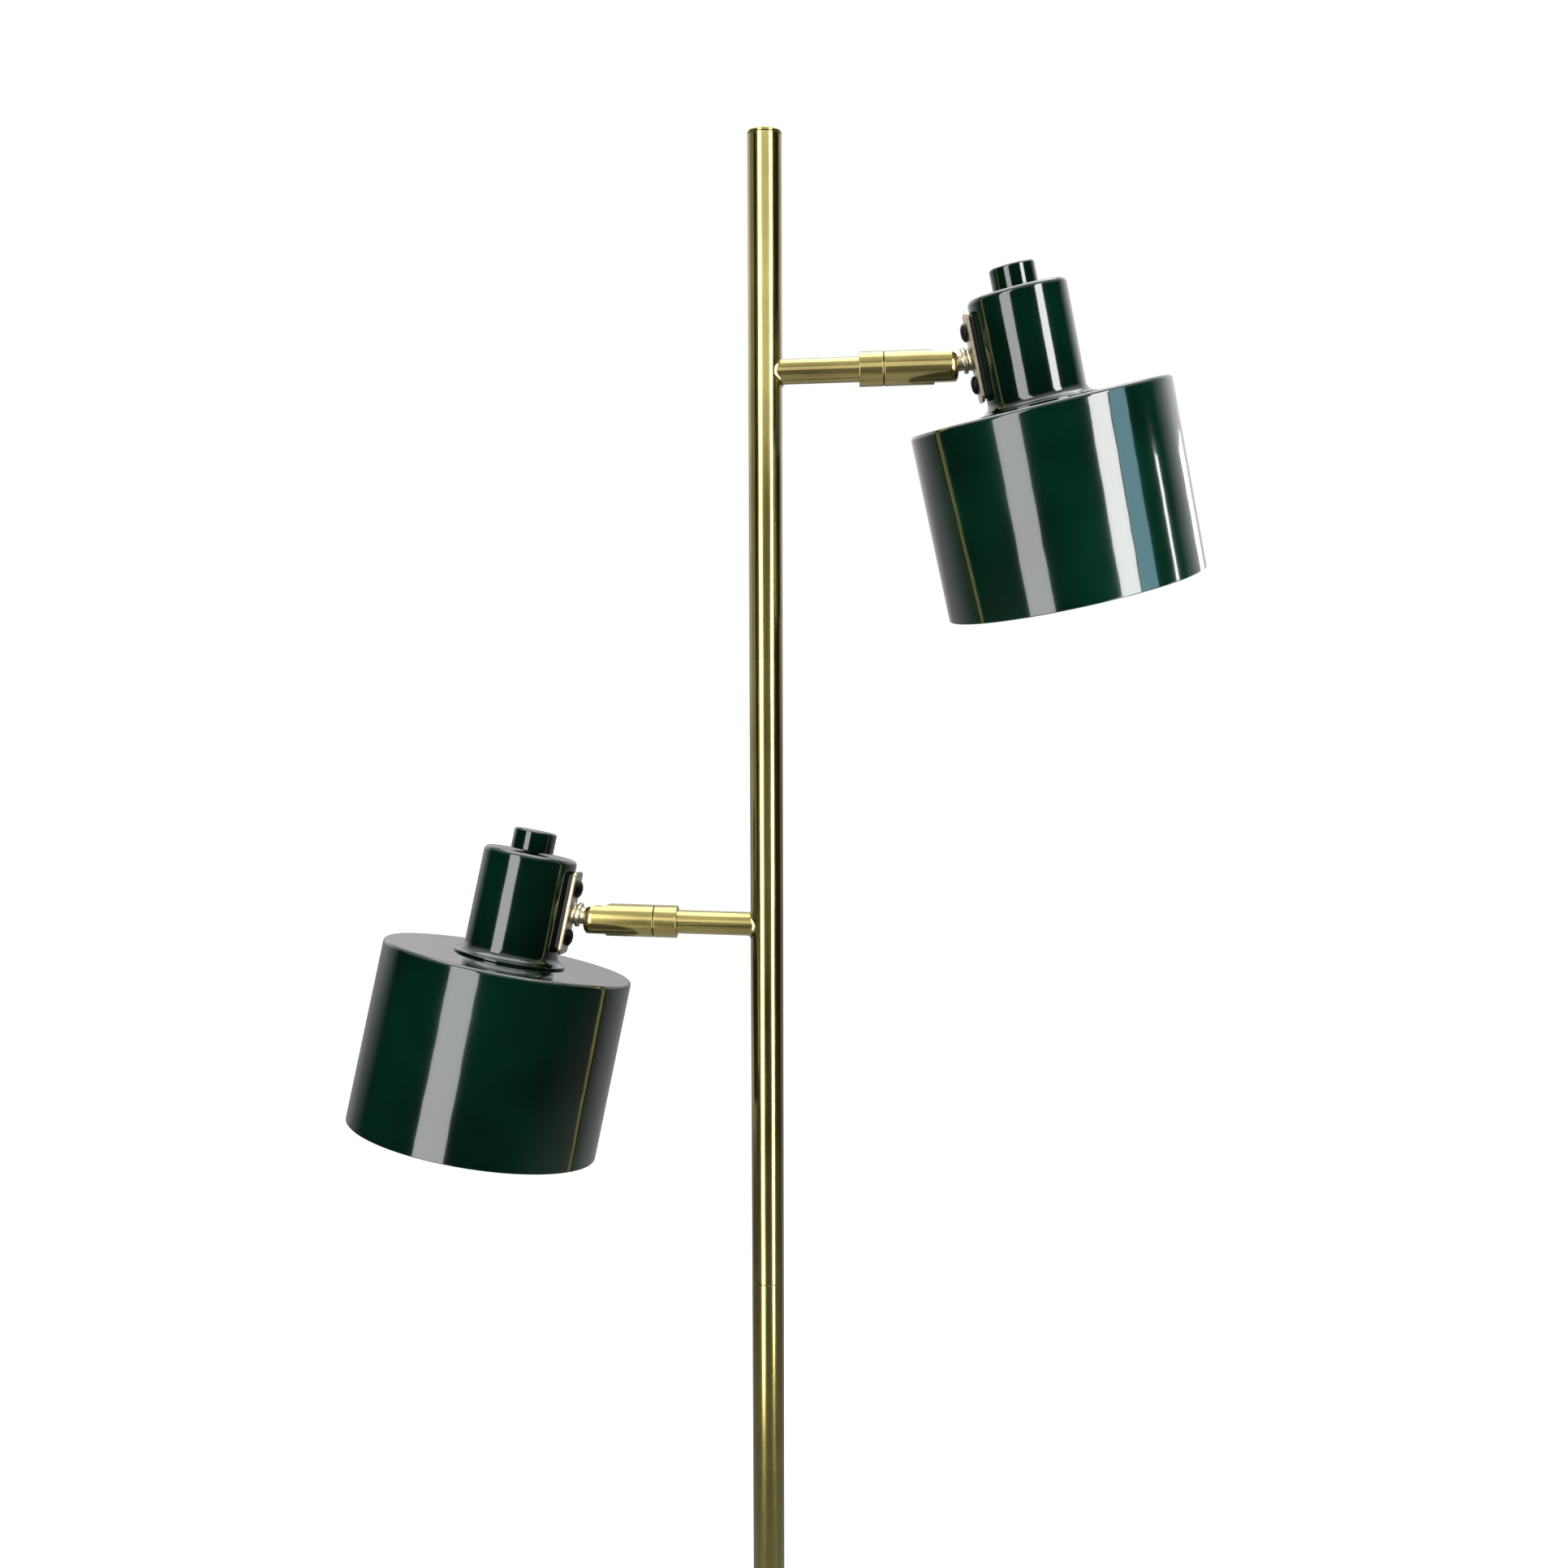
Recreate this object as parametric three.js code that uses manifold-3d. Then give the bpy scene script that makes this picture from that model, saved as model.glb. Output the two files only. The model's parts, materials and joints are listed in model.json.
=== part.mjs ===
// Adjustable arm floor lamp. A brass pole in three sections stands on a weighted
// disc base. Two short side arms leave it in opposite directions at different
// heights. Each arm ends in a slotted ball joint, which carries a green drum
// shade with a narrow neck and a rotary switch knob on top.
//
// Millimetres, +Z up. The felt under the base lies on z = 0, the pole stands on
// the origin, the upper arm points to +X and the lower arm to -X.

import * as THREE from 'three';
import { mergeVertices } from 'three/addons/utils/BufferGeometryUtils.js';
import Module from 'manifold-3d';

const wasm = await Module();
wasm.setup();

// ---------------------------------------------------------------- sizes ----

const GAP = 0.3;               // clearance between two neighbouring pieces
const ROOM = 0.6;              // looser clearance around a joint or a lead
const CHAMFER = 0.4;           // broken edge on turned brass

const TOTAL_HEIGHT = 1450;
const POLE_RADIUS = 8;
const POLE_WALL = 1.2;
const CAP_THICKNESS = 1.6;
const CAP_ROUNDING = 1.2;
const PLUG_LENGTH = 10;
const COUPLER_LENGTH = 52;
const SPIGOT_LENGTH = 26;      // foot of the pole, on the threaded base rod
const UPPER_ARM_DROP = 108;    // from the pole's top to the upper arm's axis
const ARM_SPACING = 263;       // from the upper arm's axis to the lower arm's
const SECTION_DROP = 182;      // from the lower arm's axis to the section joint

const BASE_RADIUS = 130;
const BASE_HEIGHT = 22;
const BASE_SHOULDER = 6;
const BASE_FALL = 2.4;         // the cover's top falls this much to its shoulder
const BASE_FLAT = 24;          // flat middle of the cover, under the collar
const COVER_WALL = 1.2;
const FELT_THICKNESS = 2;
const FELT_INSET = 4;
const ROD_RADIUS = 5;
const NUT_HEIGHT = 5;
const NUT_RADIUS = 9;
const FOOT_COLLAR_RADIUS = 15;
const FOOT_COLLAR_HEIGHT = 12;
const GLAND_RADIUS = 3.6;
const GLAND_FLANGE = 4.8;
const GLAND_LENGTH = 12;
const BLOCK = { start: 34, length: 26, width: 11, height: 6 };

const LEAD_RADIUS = 1.3;       // half the side of the flat twin lead
const LEAD_EDGE = 0.5;         // its chamfered corners
const LEAD_OFFSET = 1.6;       // the two leads lie this far off the pole's axis
const LEAD_BEND = 6;

const ARM_RISE = THREE.MathUtils.degToRad(1.27);
const ARM_RADIUS = 5.8;
const ARM_WALL = 1;
const ARM_LENGTH = 43.9;       // from the pole's axis to the collar
const SOCKET_DEPTH = 6;
const COLLAR_LENGTH = 11.3;
const SPIGOT_RADIUS = 4.5;     // the collar's pivot, which the barrel turns on
const LOCK_NUT_HEIGHT = 2.6;
const PARTITION = 3.6;         // rear wall of the barrel
const BARREL_TO_BALL = 26.2;   // from the barrel's rear face to the ball's centre
const BALL_RADIUS = 5.8;
const STEM_RADIUS = 4.2;
const NOSE_LENGTH = 8.1;       // from the ball's centre to the nose's end
const NOSE_ROUNDING = 4.6;
const BARREL_WALL = 1.9;       // around the ball's seat
const FLAT_WALL = 0.8;         // left of it at the wrench flats
const FLAT_START = 3;          // behind the ball's centre

const RING = { start: 10.3, length: 1.8, radius: 6 };
const STUB_RADIUS = 3;
const BORE_RADIUS = 1.8;
const STEM_NUT = { length: 2.2, radius: 5.2 };
const BOSS_LENGTH = 2.5;
const BOSS_FOOT = 8.2;
const PLATE = { height: 41, width: 19, thickness: 1.4, corner: 3 };
const PAD = { height: 38, width: 15, thickness: 0.7, corner: 2 };
const SCREW_SPACING = 12;      // each screw from the stem's axis
const SCREW = { head: 4.3, height: 2.6, shank: 1.8, length: 7.4 };
const RECESS = { width: 0.9, length: 4.4, depth: 1.2 };

const NECK_RADIUS = 23;
const NECK_WALL = 1.2;
const NECK_ABOVE = 25.3;       // from the stem's axis up to the neck's top
const NECK_BELOW = 28;         // and down to the drum's top
const NECK_ROUNDING = 2.5;
const FOOT_SPREAD = 4.5;       // of the neck's foot, beyond the neck
const FOOT_LIP = 1;
const DRUM_RADIUS = 61;
const DRUM_HEIGHT = 89;
const DRUM_WALL = 1.2;
const DRUM_ROUNDING = 2;

const KNOB_RADIUS = 10.5;
const KNOB_HEIGHT = 10.2;
const KNOB_GAP = 0.8;
const KNOB_SKIRT = 2.1;        // thickness of the knob's side
const SWITCH = { radius: 9, chamfer: 2.2, height: 16, bush: 3.6, rise: 3.4, shaft: 1.5 };
const SWITCH_NUT = { radius: 5.5, height: 2.2 };

const BRACKET = { thickness: 1.5, width: 14, reach: 17, drop: 7.3 };
const HOLDER = { cap: 15, body: 17.5, skirt: 20.3, lip: 18.5, bore: 14.2, boss: 4.9 };
const FLANGE_ROOM = 0.4;       // between the holder's flange and the neck
const HOLDER_DEPTH = 26;       // how far the holder's mouth hangs below the drum's top
const HOLDER_FLANGE_HEIGHT = 3.4;
const HOLDER_RING = { radius: 26, height: 5.5 };
const BULB = { radius: 22.5, wall: 1, drop: 32, throat: 12.4, cap: 13.2, capLength: 25 };

// Rest pose of each head: tilt of the stem above the arm, and turn about the arm.
const HEADS = [
  { name: 'upper', yaw: 0, side: 1, tilt: 11.7, swivel: 5.1 },
  { name: 'lower', yaw: Math.PI, side: -1, tilt: 9.9, swivel: 9.1 },
];

const FINE = 32;               // facets around a shade or the base
const ROUND = 20;              // around the pole, an arm or a joint
const SMALL = 12;              // around a screw, a nut's bore or a bush
const ARC = 3;                 // steps in a small rounded edge

// ------------------------------------------------------- derived places ----

const poleBore = POLE_RADIUS - POLE_WALL;
const plugRadius = poleBore - GAP;
const leadBore = LEAD_OFFSET + LEAD_RADIUS + ROOM;
const poleFoot = BASE_HEIGHT + GAP;
const poleTop = TOTAL_HEIGHT - CAP_THICKNESS - GAP;
const upperArmHeight = TOTAL_HEIGHT - UPPER_ARM_DROP;
const lowerArmHeight = upperArmHeight - ARM_SPACING;
const upperSeam = lowerArmHeight - SECTION_DROP;
const lowerSeam = (poleFoot + upperSeam) / 2;

const coverFoot = FELT_THICKNESS + GAP;
const recessTop = coverFoot + 9;
const nutFoot = recessTop - GAP - NUT_HEIGHT;
const rodFoot = nutFoot + 0.9;
const leadFloor = coverFoot + GAP + LEAD_RADIUS;

const barrelStart = ARM_LENGTH + COLLAR_LENGTH + GAP;
const ballReach = barrelStart + BARREL_TO_BALL;
const seatRadius = BALL_RADIUS + GAP;
const jointRadius = seatRadius + BARREL_WALL;
const flatHeight = seatRadius + FLAT_WALL;
const mouthRadius = STEM_RADIUS + GAP + 0.1;
const partitionEnd = barrelStart + PARTITION;
const spigotEnd = partitionEnd + GAP + LOCK_NUT_HEIGHT + GAP;

const ringEnd = RING.start + RING.length;
const bossStart = ringEnd + GAP;
const plateFace = bossStart + BOSS_LENGTH;
const plateBack = plateFace + PLATE.thickness;
const padBack = plateBack + GAP + PAD.thickness;
const neckSkin = padBack + GAP;
const headReach = neckSkin + NECK_RADIUS;
const neckBore = NECK_RADIUS - NECK_WALL;
const footRadius = NECK_RADIUS + FOOT_SPREAD;
const flangeRadius = neckBore - FLANGE_ROOM;
const bracketFace = neckSkin + NECK_WALL + GAP;
const bracketBack = bracketFace + BRACKET.thickness;
const stemNutStart = bracketBack + GAP;
const stubEnd = stemNutStart + STEM_NUT.length + GAP;

const drumTop = -NECK_BELOW;
const drumMouth = drumTop - DRUM_HEIGHT;
const drumHole = HOLDER.skirt + GAP + 0.1;
const neckFoot = drumTop + GAP;
const neckCeiling = NECK_ABOVE - NECK_WALL;
const switchTop = neckCeiling - GAP;
const switchFoot = switchTop - SWITCH.height;
const bushTop = NECK_ABOVE + GAP + SWITCH_NUT.height + SWITCH.rise - GAP;
const bracketFloor = -BRACKET.drop;
const holderTop = bracketFloor - GAP;
const holderMouth = drumTop - HOLDER_DEPTH;
const capFoot = holderMouth + 4;

// ------------------------------------------------------------ materials ----

const finish = (color, roughness, metalness) =>
  new THREE.MeshStandardMaterial({ color, roughness, metalness });

const BRASS = finish('#a8935c', 0.38, 1);
const NICKEL = finish('#c3b79a', 0.35, 1);
const GREEN = finish('#06382b', 0.08, 0);
const BLACK_STEEL = finish('#111111', 0.4, 0.8);
const ZINC = finish('#a9acae', 0.45, 1);
const IRON = finish('#3a3a3b', 0.75, 0.6);
const FELT = finish('#1d1e1d', 0.95, 0);
const BLACK_PLASTIC = finish('#141414', 0.5, 0);
const WHITE_PLASTIC = finish('#e8e6df', 0.45, 0);
const OPAL_GLASS = finish('#f5f1e6', 0.2, 0);
const LEAD = finish('#d8d4c8', 0.6, 0);

// --------------------------------------------------------------- helpers ----

// A piece turned about Z. The profile holds [radius, height] corners in order,
// and it starts and ends on the axis or closes on itself.
function turned(profile, segments) {
  const points = profile.map(([radius, height]) => new THREE.Vector2(radius, height));
  return new THREE.LatheGeometry(points, segments).rotateX(Math.PI / 2);
}

// The same with a bore: the profile is a loop that closes on itself.
const turnedRing = (profile, segments) => turned([...profile, profile[0]], segments);

// Lays a piece turned about Z along +X.
const alongX = (geometry) => geometry.rotateY(Math.PI / 2);

// Corners of an arc in a profile, from one angle to another in degrees. A stretch
// other than 1 makes it a stretch of an ellipse.
function arc(centreR, centreZ, radius, from, to, steps = ARC, stretch = 1) {
  const corners = [];
  for (let i = 0; i <= steps; i += 1) {
    const angle = THREE.MathUtils.degToRad(from + ((to - from) * i) / steps);
    const rise = radius * stretch * Math.sin(angle);
    corners.push([centreR + radius * Math.cos(angle), centreZ + rise]);
  }
  return corners;
}

const rod = (radius, from, to, segments = ROUND) =>
  turned([[0, from], [radius, from], [radius, to], [0, to]], segments);

const pipe = (bore, radius, from, to, segments = ROUND) =>
  turnedRing([[bore, from], [radius, from], [radius, to], [bore, to]], segments);

// A box between two opposite corners.
function box([x0, y0, z0], [x1, y1, z1]) {
  const geometry = new THREE.BoxGeometry(x1 - x0, y1 - y0, z1 - z0);
  return geometry.translate((x0 + x1) / 2, (y0 + y1) / 2, (z0 + z1) / 2);
}

function solid(geometry) {
  const bare = geometry.clone();
  bare.deleteAttribute('normal');
  bare.deleteAttribute('uv');
  const welded = mergeVertices(bare, 1e-5);
  return new wasm.Manifold(new wasm.Mesh({
    numProp: 3,
    vertProperties: new Float32Array(welded.attributes.position.array),
    triVerts: new Uint32Array(welded.index.array),
  }));
}

function geometryOf(body) {
  const mesh = body.getMesh();
  const geometry = new THREE.BufferGeometry();
  geometry.setAttribute('position', new THREE.BufferAttribute(mesh.vertProperties, 3));
  geometry.setIndex(new THREE.BufferAttribute(mesh.triVerts, 1));
  geometry.computeVertexNormals();
  return geometry;
}

const joined = (...pieces) =>
  geometryOf(pieces.map(solid).reduce((body, piece) => body.add(piece)));

const cut = (piece, ...tools) =>
  geometryOf(tools.map(solid).reduce((body, tool) => body.subtract(tool), solid(piece)));

// A rounded plate that stands in YZ, from x = from to x = to.
function uprightPlate(height, width, corner, from, to) {
  const y = width / 2 - corner;
  const z = height / 2 - corner;
  const outline = new THREE.Shape();
  outline.absarc(y, z, corner, 0, Math.PI / 2);
  outline.absarc(-y, z, corner, Math.PI / 2, Math.PI);
  outline.absarc(-y, -z, corner, Math.PI, Math.PI * 1.5);
  outline.absarc(y, -z, corner, Math.PI * 1.5, Math.PI * 2);
  const options = { depth: to - from, bevelEnabled: false, curveSegments: ARC };
  const geometry = new THREE.ExtrudeGeometry(outline, options);
  return geometry.rotateY(Math.PI / 2).rotateX(Math.PI / 2).translate(from, 0, 0);
}

// A hexagonal nut about Z with a round bore.
function hexNut(bore, radius, from, to) {
  const body = new THREE.CylinderGeometry(radius, radius, to - from, 6).rotateX(Math.PI / 2);
  return cut(body.translate(0, 0, (from + to) / 2), rod(bore, from - 1, to + 1));
}

// A flat twin lead whose centre line lies in XZ at the given y.
function flatLead(centreLine, y) {
  const half = LEAD_RADIUS - LEAD_EDGE;
  const points = centreLine.getPoints(6);
  const side = (offset) => points.map((point, i) => {
    const ahead = points[Math.min(i + 1, points.length - 1)].clone();
    const along = ahead.sub(points[Math.max(i - 1, 0)]).normalize();
    return new THREE.Vector2(point.x - along.y * offset, point.y + along.x * offset);
  });
  const outline = new THREE.Shape([...side(-half), ...side(half).reverse()]);
  const geometry = new THREE.ExtrudeGeometry(outline, {
    depth: 2 * half, bevelThickness: LEAD_EDGE, bevelSize: LEAD_EDGE, bevelSegments: 1,
  });
  return geometry.rotateX(Math.PI / 2).translate(0, y + half, 0);
}

function place(parent, name, geometry, material) {
  const mesh = new THREE.Mesh(geometry, material);
  mesh.name = name;
  parent.add(mesh);
}

// ------------------------------------------------------------------ base ----

function coverTopAt(radius) {
  const run = BASE_RADIUS - BASE_SHOULDER - BASE_FLAT;
  return BASE_HEIGHT - (BASE_FALL * Math.max(0, radius - BASE_FLAT)) / run;
}

// Outline of the cover's outside, shrunk inwards by an offset, from rim to bore.
function coverOutline(offset, foot, bore) {
  const shoulder = BASE_RADIUS - BASE_SHOULDER;
  const shoulderZ = coverTopAt(shoulder) - BASE_SHOULDER;
  return [
    [BASE_RADIUS - offset, foot],
    ...arc(shoulder, shoulderZ, BASE_SHOULDER - offset, 0, 90, 6),
    [BASE_FLAT, BASE_HEIGHT - offset],
    [bore, BASE_HEIGHT - offset],
  ];
}

function baseCover() {
  const bore = ROD_RADIUS + GAP;
  const outside = coverOutline(0, coverFoot, bore);
  const inside = coverOutline(COVER_WALL, coverFoot, bore);
  const shell = turnedRing([...outside, ...inside.reverse()], FINE);
  const glandHole = rod(GLAND_RADIUS + GAP, BASE_RADIUS - 8, BASE_RADIUS + 8, SMALL);
  return cut(shell, towardsBack(glandHole));
}

// The gland looks out of the back of the base, along +Y.
const glandHeight = coverFoot + GLAND_FLANGE + GAP;
const towardsBack = (geometry) => geometry.rotateX(-Math.PI / 2).translate(0, 0, glandHeight);

function baseWeight() {
  const offset = COVER_WALL + GAP;
  const bore = ROD_RADIUS + GAP;
  const outline = coverOutline(offset, coverFoot, bore);
  const disc = turnedRing([...outline, [bore, coverFoot]], FINE);
  const recess = rod(NUT_RADIUS + 3, 0, recessTop, ROUND);
  const blockEnd = BLOCK.start + BLOCK.length + 2;
  const blockChannel = box(
    [0, -BLOCK.width / 2 - 1, 0],
    [blockEnd, BLOCK.width / 2 + 1, coverFoot + BLOCK.height + 2],
  );
  const glandRoom = GLAND_FLANGE + GAP;
  const cordChannel = box(
    [-glandRoom, 0, 0],
    [glandRoom, BASE_RADIUS, glandHeight + glandRoom],
  );
  return cut(disc, recess, blockChannel, cordChannel);
}

function baseRod() {
  return turnedRing([
    [leadBore, rodFoot],
    [ROD_RADIUS, rodFoot],
    [ROD_RADIUS, poleFoot],
    [plugRadius, poleFoot],
    [plugRadius, poleFoot + SPIGOT_LENGTH - 1],
    [plugRadius - 1, poleFoot + SPIGOT_LENGTH],
    [leadBore, poleFoot + SPIGOT_LENGTH],
  ], ROUND);
}

function footCollar() {
  const top = poleFoot + FOOT_COLLAR_HEIGHT;
  const waist = POLE_RADIUS + 2.4;
  return turnedRing([
    [POLE_RADIUS + GAP, poleFoot],
    [FOOT_COLLAR_RADIUS, poleFoot],
    [FOOT_COLLAR_RADIUS, poleFoot + 2.4],
    ...arc(FOOT_COLLAR_RADIUS, top - 2, FOOT_COLLAR_RADIUS - waist, 262, 180),
    [waist - CHAMFER, top],
    [POLE_RADIUS + GAP, top],
  ], ROUND);
}

function cordGland() {
  const skin = BASE_RADIUS + GAP;
  return towardsBack(turnedRing([
    [GLAND_RADIUS - 1.2, skin - GLAND_LENGTH],
    [GLAND_RADIUS, skin - GLAND_LENGTH],
    [GLAND_RADIUS, skin],
    [GLAND_FLANGE, skin],
    [GLAND_FLANGE, skin + 1.6],
    [GLAND_FLANGE - 1, skin + 2.6],
    [GLAND_RADIUS - 1.2, skin + 2.6],
  ], SMALL));
}

function terminalBlock() {
  const { start, length, width, height } = BLOCK;
  const foot = coverFoot + GAP;
  const body = box([start, -width / 2, foot], [start + length, width / 2, foot + height]);
  const wells = [0.25, 0.75].flatMap((share) => [-1, 1].map((side) =>
    rod(1.5, foot + height - 3, foot + height + 1, 12)
      .translate(start + length * share, (side * width) / 4, 0)));
  return cut(body, ...wells);
}

function buildBase(lamp) {
  const feltRadius = BASE_RADIUS - FELT_INSET;
  place(lamp, 'base_felt_pad', rod(feltRadius, 0, FELT_THICKNESS, FINE), FELT);
  place(lamp, 'base_weight', baseWeight(), IRON);
  place(lamp, 'base_cover', baseCover(), GREEN);
  place(lamp, 'base_rod', baseRod(), ZINC);
  const nut = hexNut(ROD_RADIUS + GAP, NUT_RADIUS, nutFoot, nutFoot + NUT_HEIGHT);
  place(lamp, 'base_nut', nut, ZINC);
  place(lamp, 'base_collar', footCollar(), BRASS);
  place(lamp, 'cord_gland', cordGland(), BLACK_PLASTIC);
  place(lamp, 'terminal_block', terminalBlock(), WHITE_PLASTIC);
}

// ------------------------------------------------------------------ pole ----

function poleSection(from, to) {
  const lip = CHAMFER / 2;
  return turnedRing([
    [poleBore, from],
    [POLE_RADIUS - lip, from],
    [POLE_RADIUS, from + lip],
    [POLE_RADIUS, to - lip],
    [POLE_RADIUS - lip, to],
    [poleBore, to],
  ], ROUND);
}

// Carries a shape from an arm's own frame, where the arm runs along +X, to the lamp.
function toLamp(geometry, head) {
  const height = head.side > 0 ? upperArmHeight : lowerArmHeight;
  return geometry.rotateY(-ARM_RISE).rotateZ(head.yaw).translate(0, 0, height);
}

function upperSection() {
  const holes = HEADS.map((head) =>
    toLamp(alongX(rod(ARM_RADIUS + GAP, 0, POLE_RADIUS * 2)), head));
  return cut(poleSection(upperSeam + GAP, poleTop), ...holes);
}

const coupler = (seam) =>
  pipe(leadBore, plugRadius, seam - COUPLER_LENGTH / 2, seam + COUPLER_LENGTH / 2);

function poleCap() {
  const foot = poleTop + GAP;
  return turned([
    [0, poleTop - PLUG_LENGTH],
    [plugRadius, poleTop - PLUG_LENGTH],
    [plugRadius, foot],
    [POLE_RADIUS, foot],
    ...arc(POLE_RADIUS - CAP_ROUNDING, TOTAL_HEIGHT - CAP_ROUNDING, CAP_ROUNDING, 0, 90, 3),
    [0, TOTAL_HEIGHT],
  ], ROUND);
}

// From the terminal block, under the base rod, up the pole and out along an arm.
function armLead(head) {
  const armHeight = head.side > 0 ? upperArmHeight : lowerArmHeight;
  const rise = Math.tan(ARM_RISE);
  const reach = ballReach - seatRadius - ROOM;
  const line = new THREE.Path();
  line.moveTo(BLOCK.start - GAP - LEAD_EDGE, leadFloor);
  line.lineTo(LEAD_BEND * 0.7, leadFloor);
  line.quadraticCurveTo(0, leadFloor, 0, leadFloor + LEAD_BEND * 0.7);
  line.lineTo(0, armHeight - LEAD_BEND);
  line.quadraticCurveTo(0, armHeight, head.side * LEAD_BEND, armHeight + LEAD_BEND * rise);
  line.lineTo(head.side * reach, armHeight + reach * rise);
  return flatLead(line, head.side * LEAD_OFFSET);
}

function buildPole(lamp) {
  place(lamp, 'pole_lower', poleSection(poleFoot, lowerSeam), BRASS);
  place(lamp, 'pole_middle', poleSection(lowerSeam + GAP, upperSeam), BRASS);
  place(lamp, 'pole_upper', upperSection(), BRASS);
  place(lamp, 'coupler_lower', coupler(lowerSeam), ZINC);
  place(lamp, 'coupler_upper', coupler(upperSeam), ZINC);
  place(lamp, 'pole_cap', poleCap(), BRASS);
  HEADS.forEach((head) => place(lamp, `${head.name}_arm_lead`, armLead(head), LEAD));
}

// ------------------------------------------------- arm and joint barrel ----

function armTube() {
  const end = ARM_LENGTH + SOCKET_DEPTH;
  const tube = alongX(pipe(ARM_RADIUS - ARM_WALL, ARM_RADIUS, 0, end));
  const bore = rod(poleBore, -4 * ARM_RADIUS, 4 * ARM_RADIUS);
  return cut(tube, bore.rotateY(ARM_RISE));
}

function armCollar() {
  const end = ARM_LENGTH + COLLAR_LENGTH;
  const socket = ARM_RADIUS + GAP;
  const socketEnd = ARM_LENGTH + SOCKET_DEPTH + GAP;
  return alongX(turnedRing([
    [socket, ARM_LENGTH],
    [jointRadius - CHAMFER, ARM_LENGTH],
    [jointRadius, ARM_LENGTH + CHAMFER],
    [jointRadius, end - CHAMFER],
    [jointRadius - CHAMFER, end],
    [SPIGOT_RADIUS, end],
    [SPIGOT_RADIUS, spigotEnd],
    [leadBore, spigotEnd],
    [leadBore, socketEnd],
    [socket, socketEnd],
  ], ROUND));
}

function lockNut() {
  const start = partitionEnd + GAP;
  return alongX(hexNut(SPIGOT_RADIUS + GAP, seatRadius - GAP, start, start + LOCK_NUT_HEIGHT));
}

// The ball sits in a round seat behind the nose. The slot in the top of the nose
// lets the stem swing up from level until it stands square to the arm.
function jointBarrel() {
  const noseEnd = ballReach + NOSE_LENGTH;
  const lip = mouthRadius + 0.3;
  const seatAngle = THREE.MathUtils.radToDeg(Math.asin(mouthRadius / seatRadius));
  const seat = arc(0, ballReach, seatRadius, 90 - seatAngle, 0);
  const barrel = alongX(turnedRing([
    [SPIGOT_RADIUS + GAP, barrelStart],
    [jointRadius - CHAMFER, barrelStart],
    [jointRadius, barrelStart + CHAMFER],
    [jointRadius, noseEnd - NOSE_ROUNDING],
    [jointRadius - 0.35, noseEnd - NOSE_ROUNDING * 0.62],
    [jointRadius - 1.2, noseEnd - NOSE_ROUNDING * 0.36],
    [lip, noseEnd],
    [mouthRadius, noseEnd],
    ...seat,
    [seatRadius, partitionEnd],
    [SPIGOT_RADIUS + GAP, partitionEnd],
  ], ROUND));
  const flatFrom = ballReach - FLAT_START;
  const beyond = noseEnd + 1;
  const flats = [-1, 1].map((side) => {
    const flat = box([flatFrom, -jointRadius, 0], [beyond, jointRadius, jointRadius]);
    return flat.translate(0, 0, side * (flatHeight + jointRadius / 2) - jointRadius / 2);
  });
  const slot = box([ballReach, -mouthRadius, 0], [beyond, mouthRadius, jointRadius * 2]);
  const slotEnd = rod(mouthRadius, 0, jointRadius * 2, SMALL).translate(ballReach, 0, 0);
  return cut(barrel, ...flats, slot, slotEnd);
}

// --------------------------------------- head, in the frame of its ball ----
// The ball's centre is the origin, the stem runs along +X, and the shade's axis
// stands on x = headReach with the knob up.

function jointBall() {
  const rear = Math.sqrt(BALL_RADIUS ** 2 - BORE_RADIUS ** 2);
  const front = Math.sqrt(BALL_RADIUS ** 2 - STEM_RADIUS ** 2);
  const angle = (x) => THREE.MathUtils.radToDeg(Math.asin(x / BALL_RADIUS));
  return alongX(turnedRing([
    ...arc(0, 0, BALL_RADIUS, angle(-rear), angle(front), 6),
    [STEM_RADIUS - 0.3, (front + RING.start) / 2],
    [STEM_RADIUS, RING.start],
    [RING.radius - 0.3, RING.start],
    [RING.radius, RING.start + 0.3],
    [RING.radius, ringEnd - 0.3],
    [RING.radius - 0.3, ringEnd],
    [STUB_RADIUS, ringEnd],
    [STUB_RADIUS, stubEnd],
    [BORE_RADIUS, stubEnd],
  ], ROUND));
}

const stemHole = () => alongX(rod(STUB_RADIUS + GAP, 0, headReach, SMALL));

const screwHoles = () => [-1, 1].map((side) =>
  alongX(rod(SCREW.shank + GAP, 0, headReach, SMALL)).translate(0, 0, side * SCREW_SPACING));

function mountPlate() {
  const { height, width, corner } = PLATE;
  const waist = RING.radius - 1.1;
  const flare = BOSS_FOOT - waist;
  const boss = alongX(turned([
    [0, bossStart],
    [waist, bossStart],
    ...arc(BOSS_FOOT, bossStart, flare, 170, 98, 3, BOSS_LENGTH / flare),
    [BOSS_FOOT, plateFace],
    [BOSS_FOOT - 1, plateFace + PLATE.thickness / 2],
    [0, plateFace + PLATE.thickness / 2],
  ], SMALL));
  const plate = uprightPlate(height, width, corner, plateFace, plateBack);
  return cut(joined(plate, boss), stemHole(), ...screwHoles());
}

function platePad() {
  const { height, width, corner } = PAD;
  const slab = uprightPlate(height, width, corner, plateBack + GAP, headReach - NECK_RADIUS / 2);
  const neck = rod(NECK_RADIUS + GAP, -height, height, FINE).translate(headReach, 0, 0);
  return cut(slab, neck, stemHole(), ...screwHoles());
}

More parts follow.
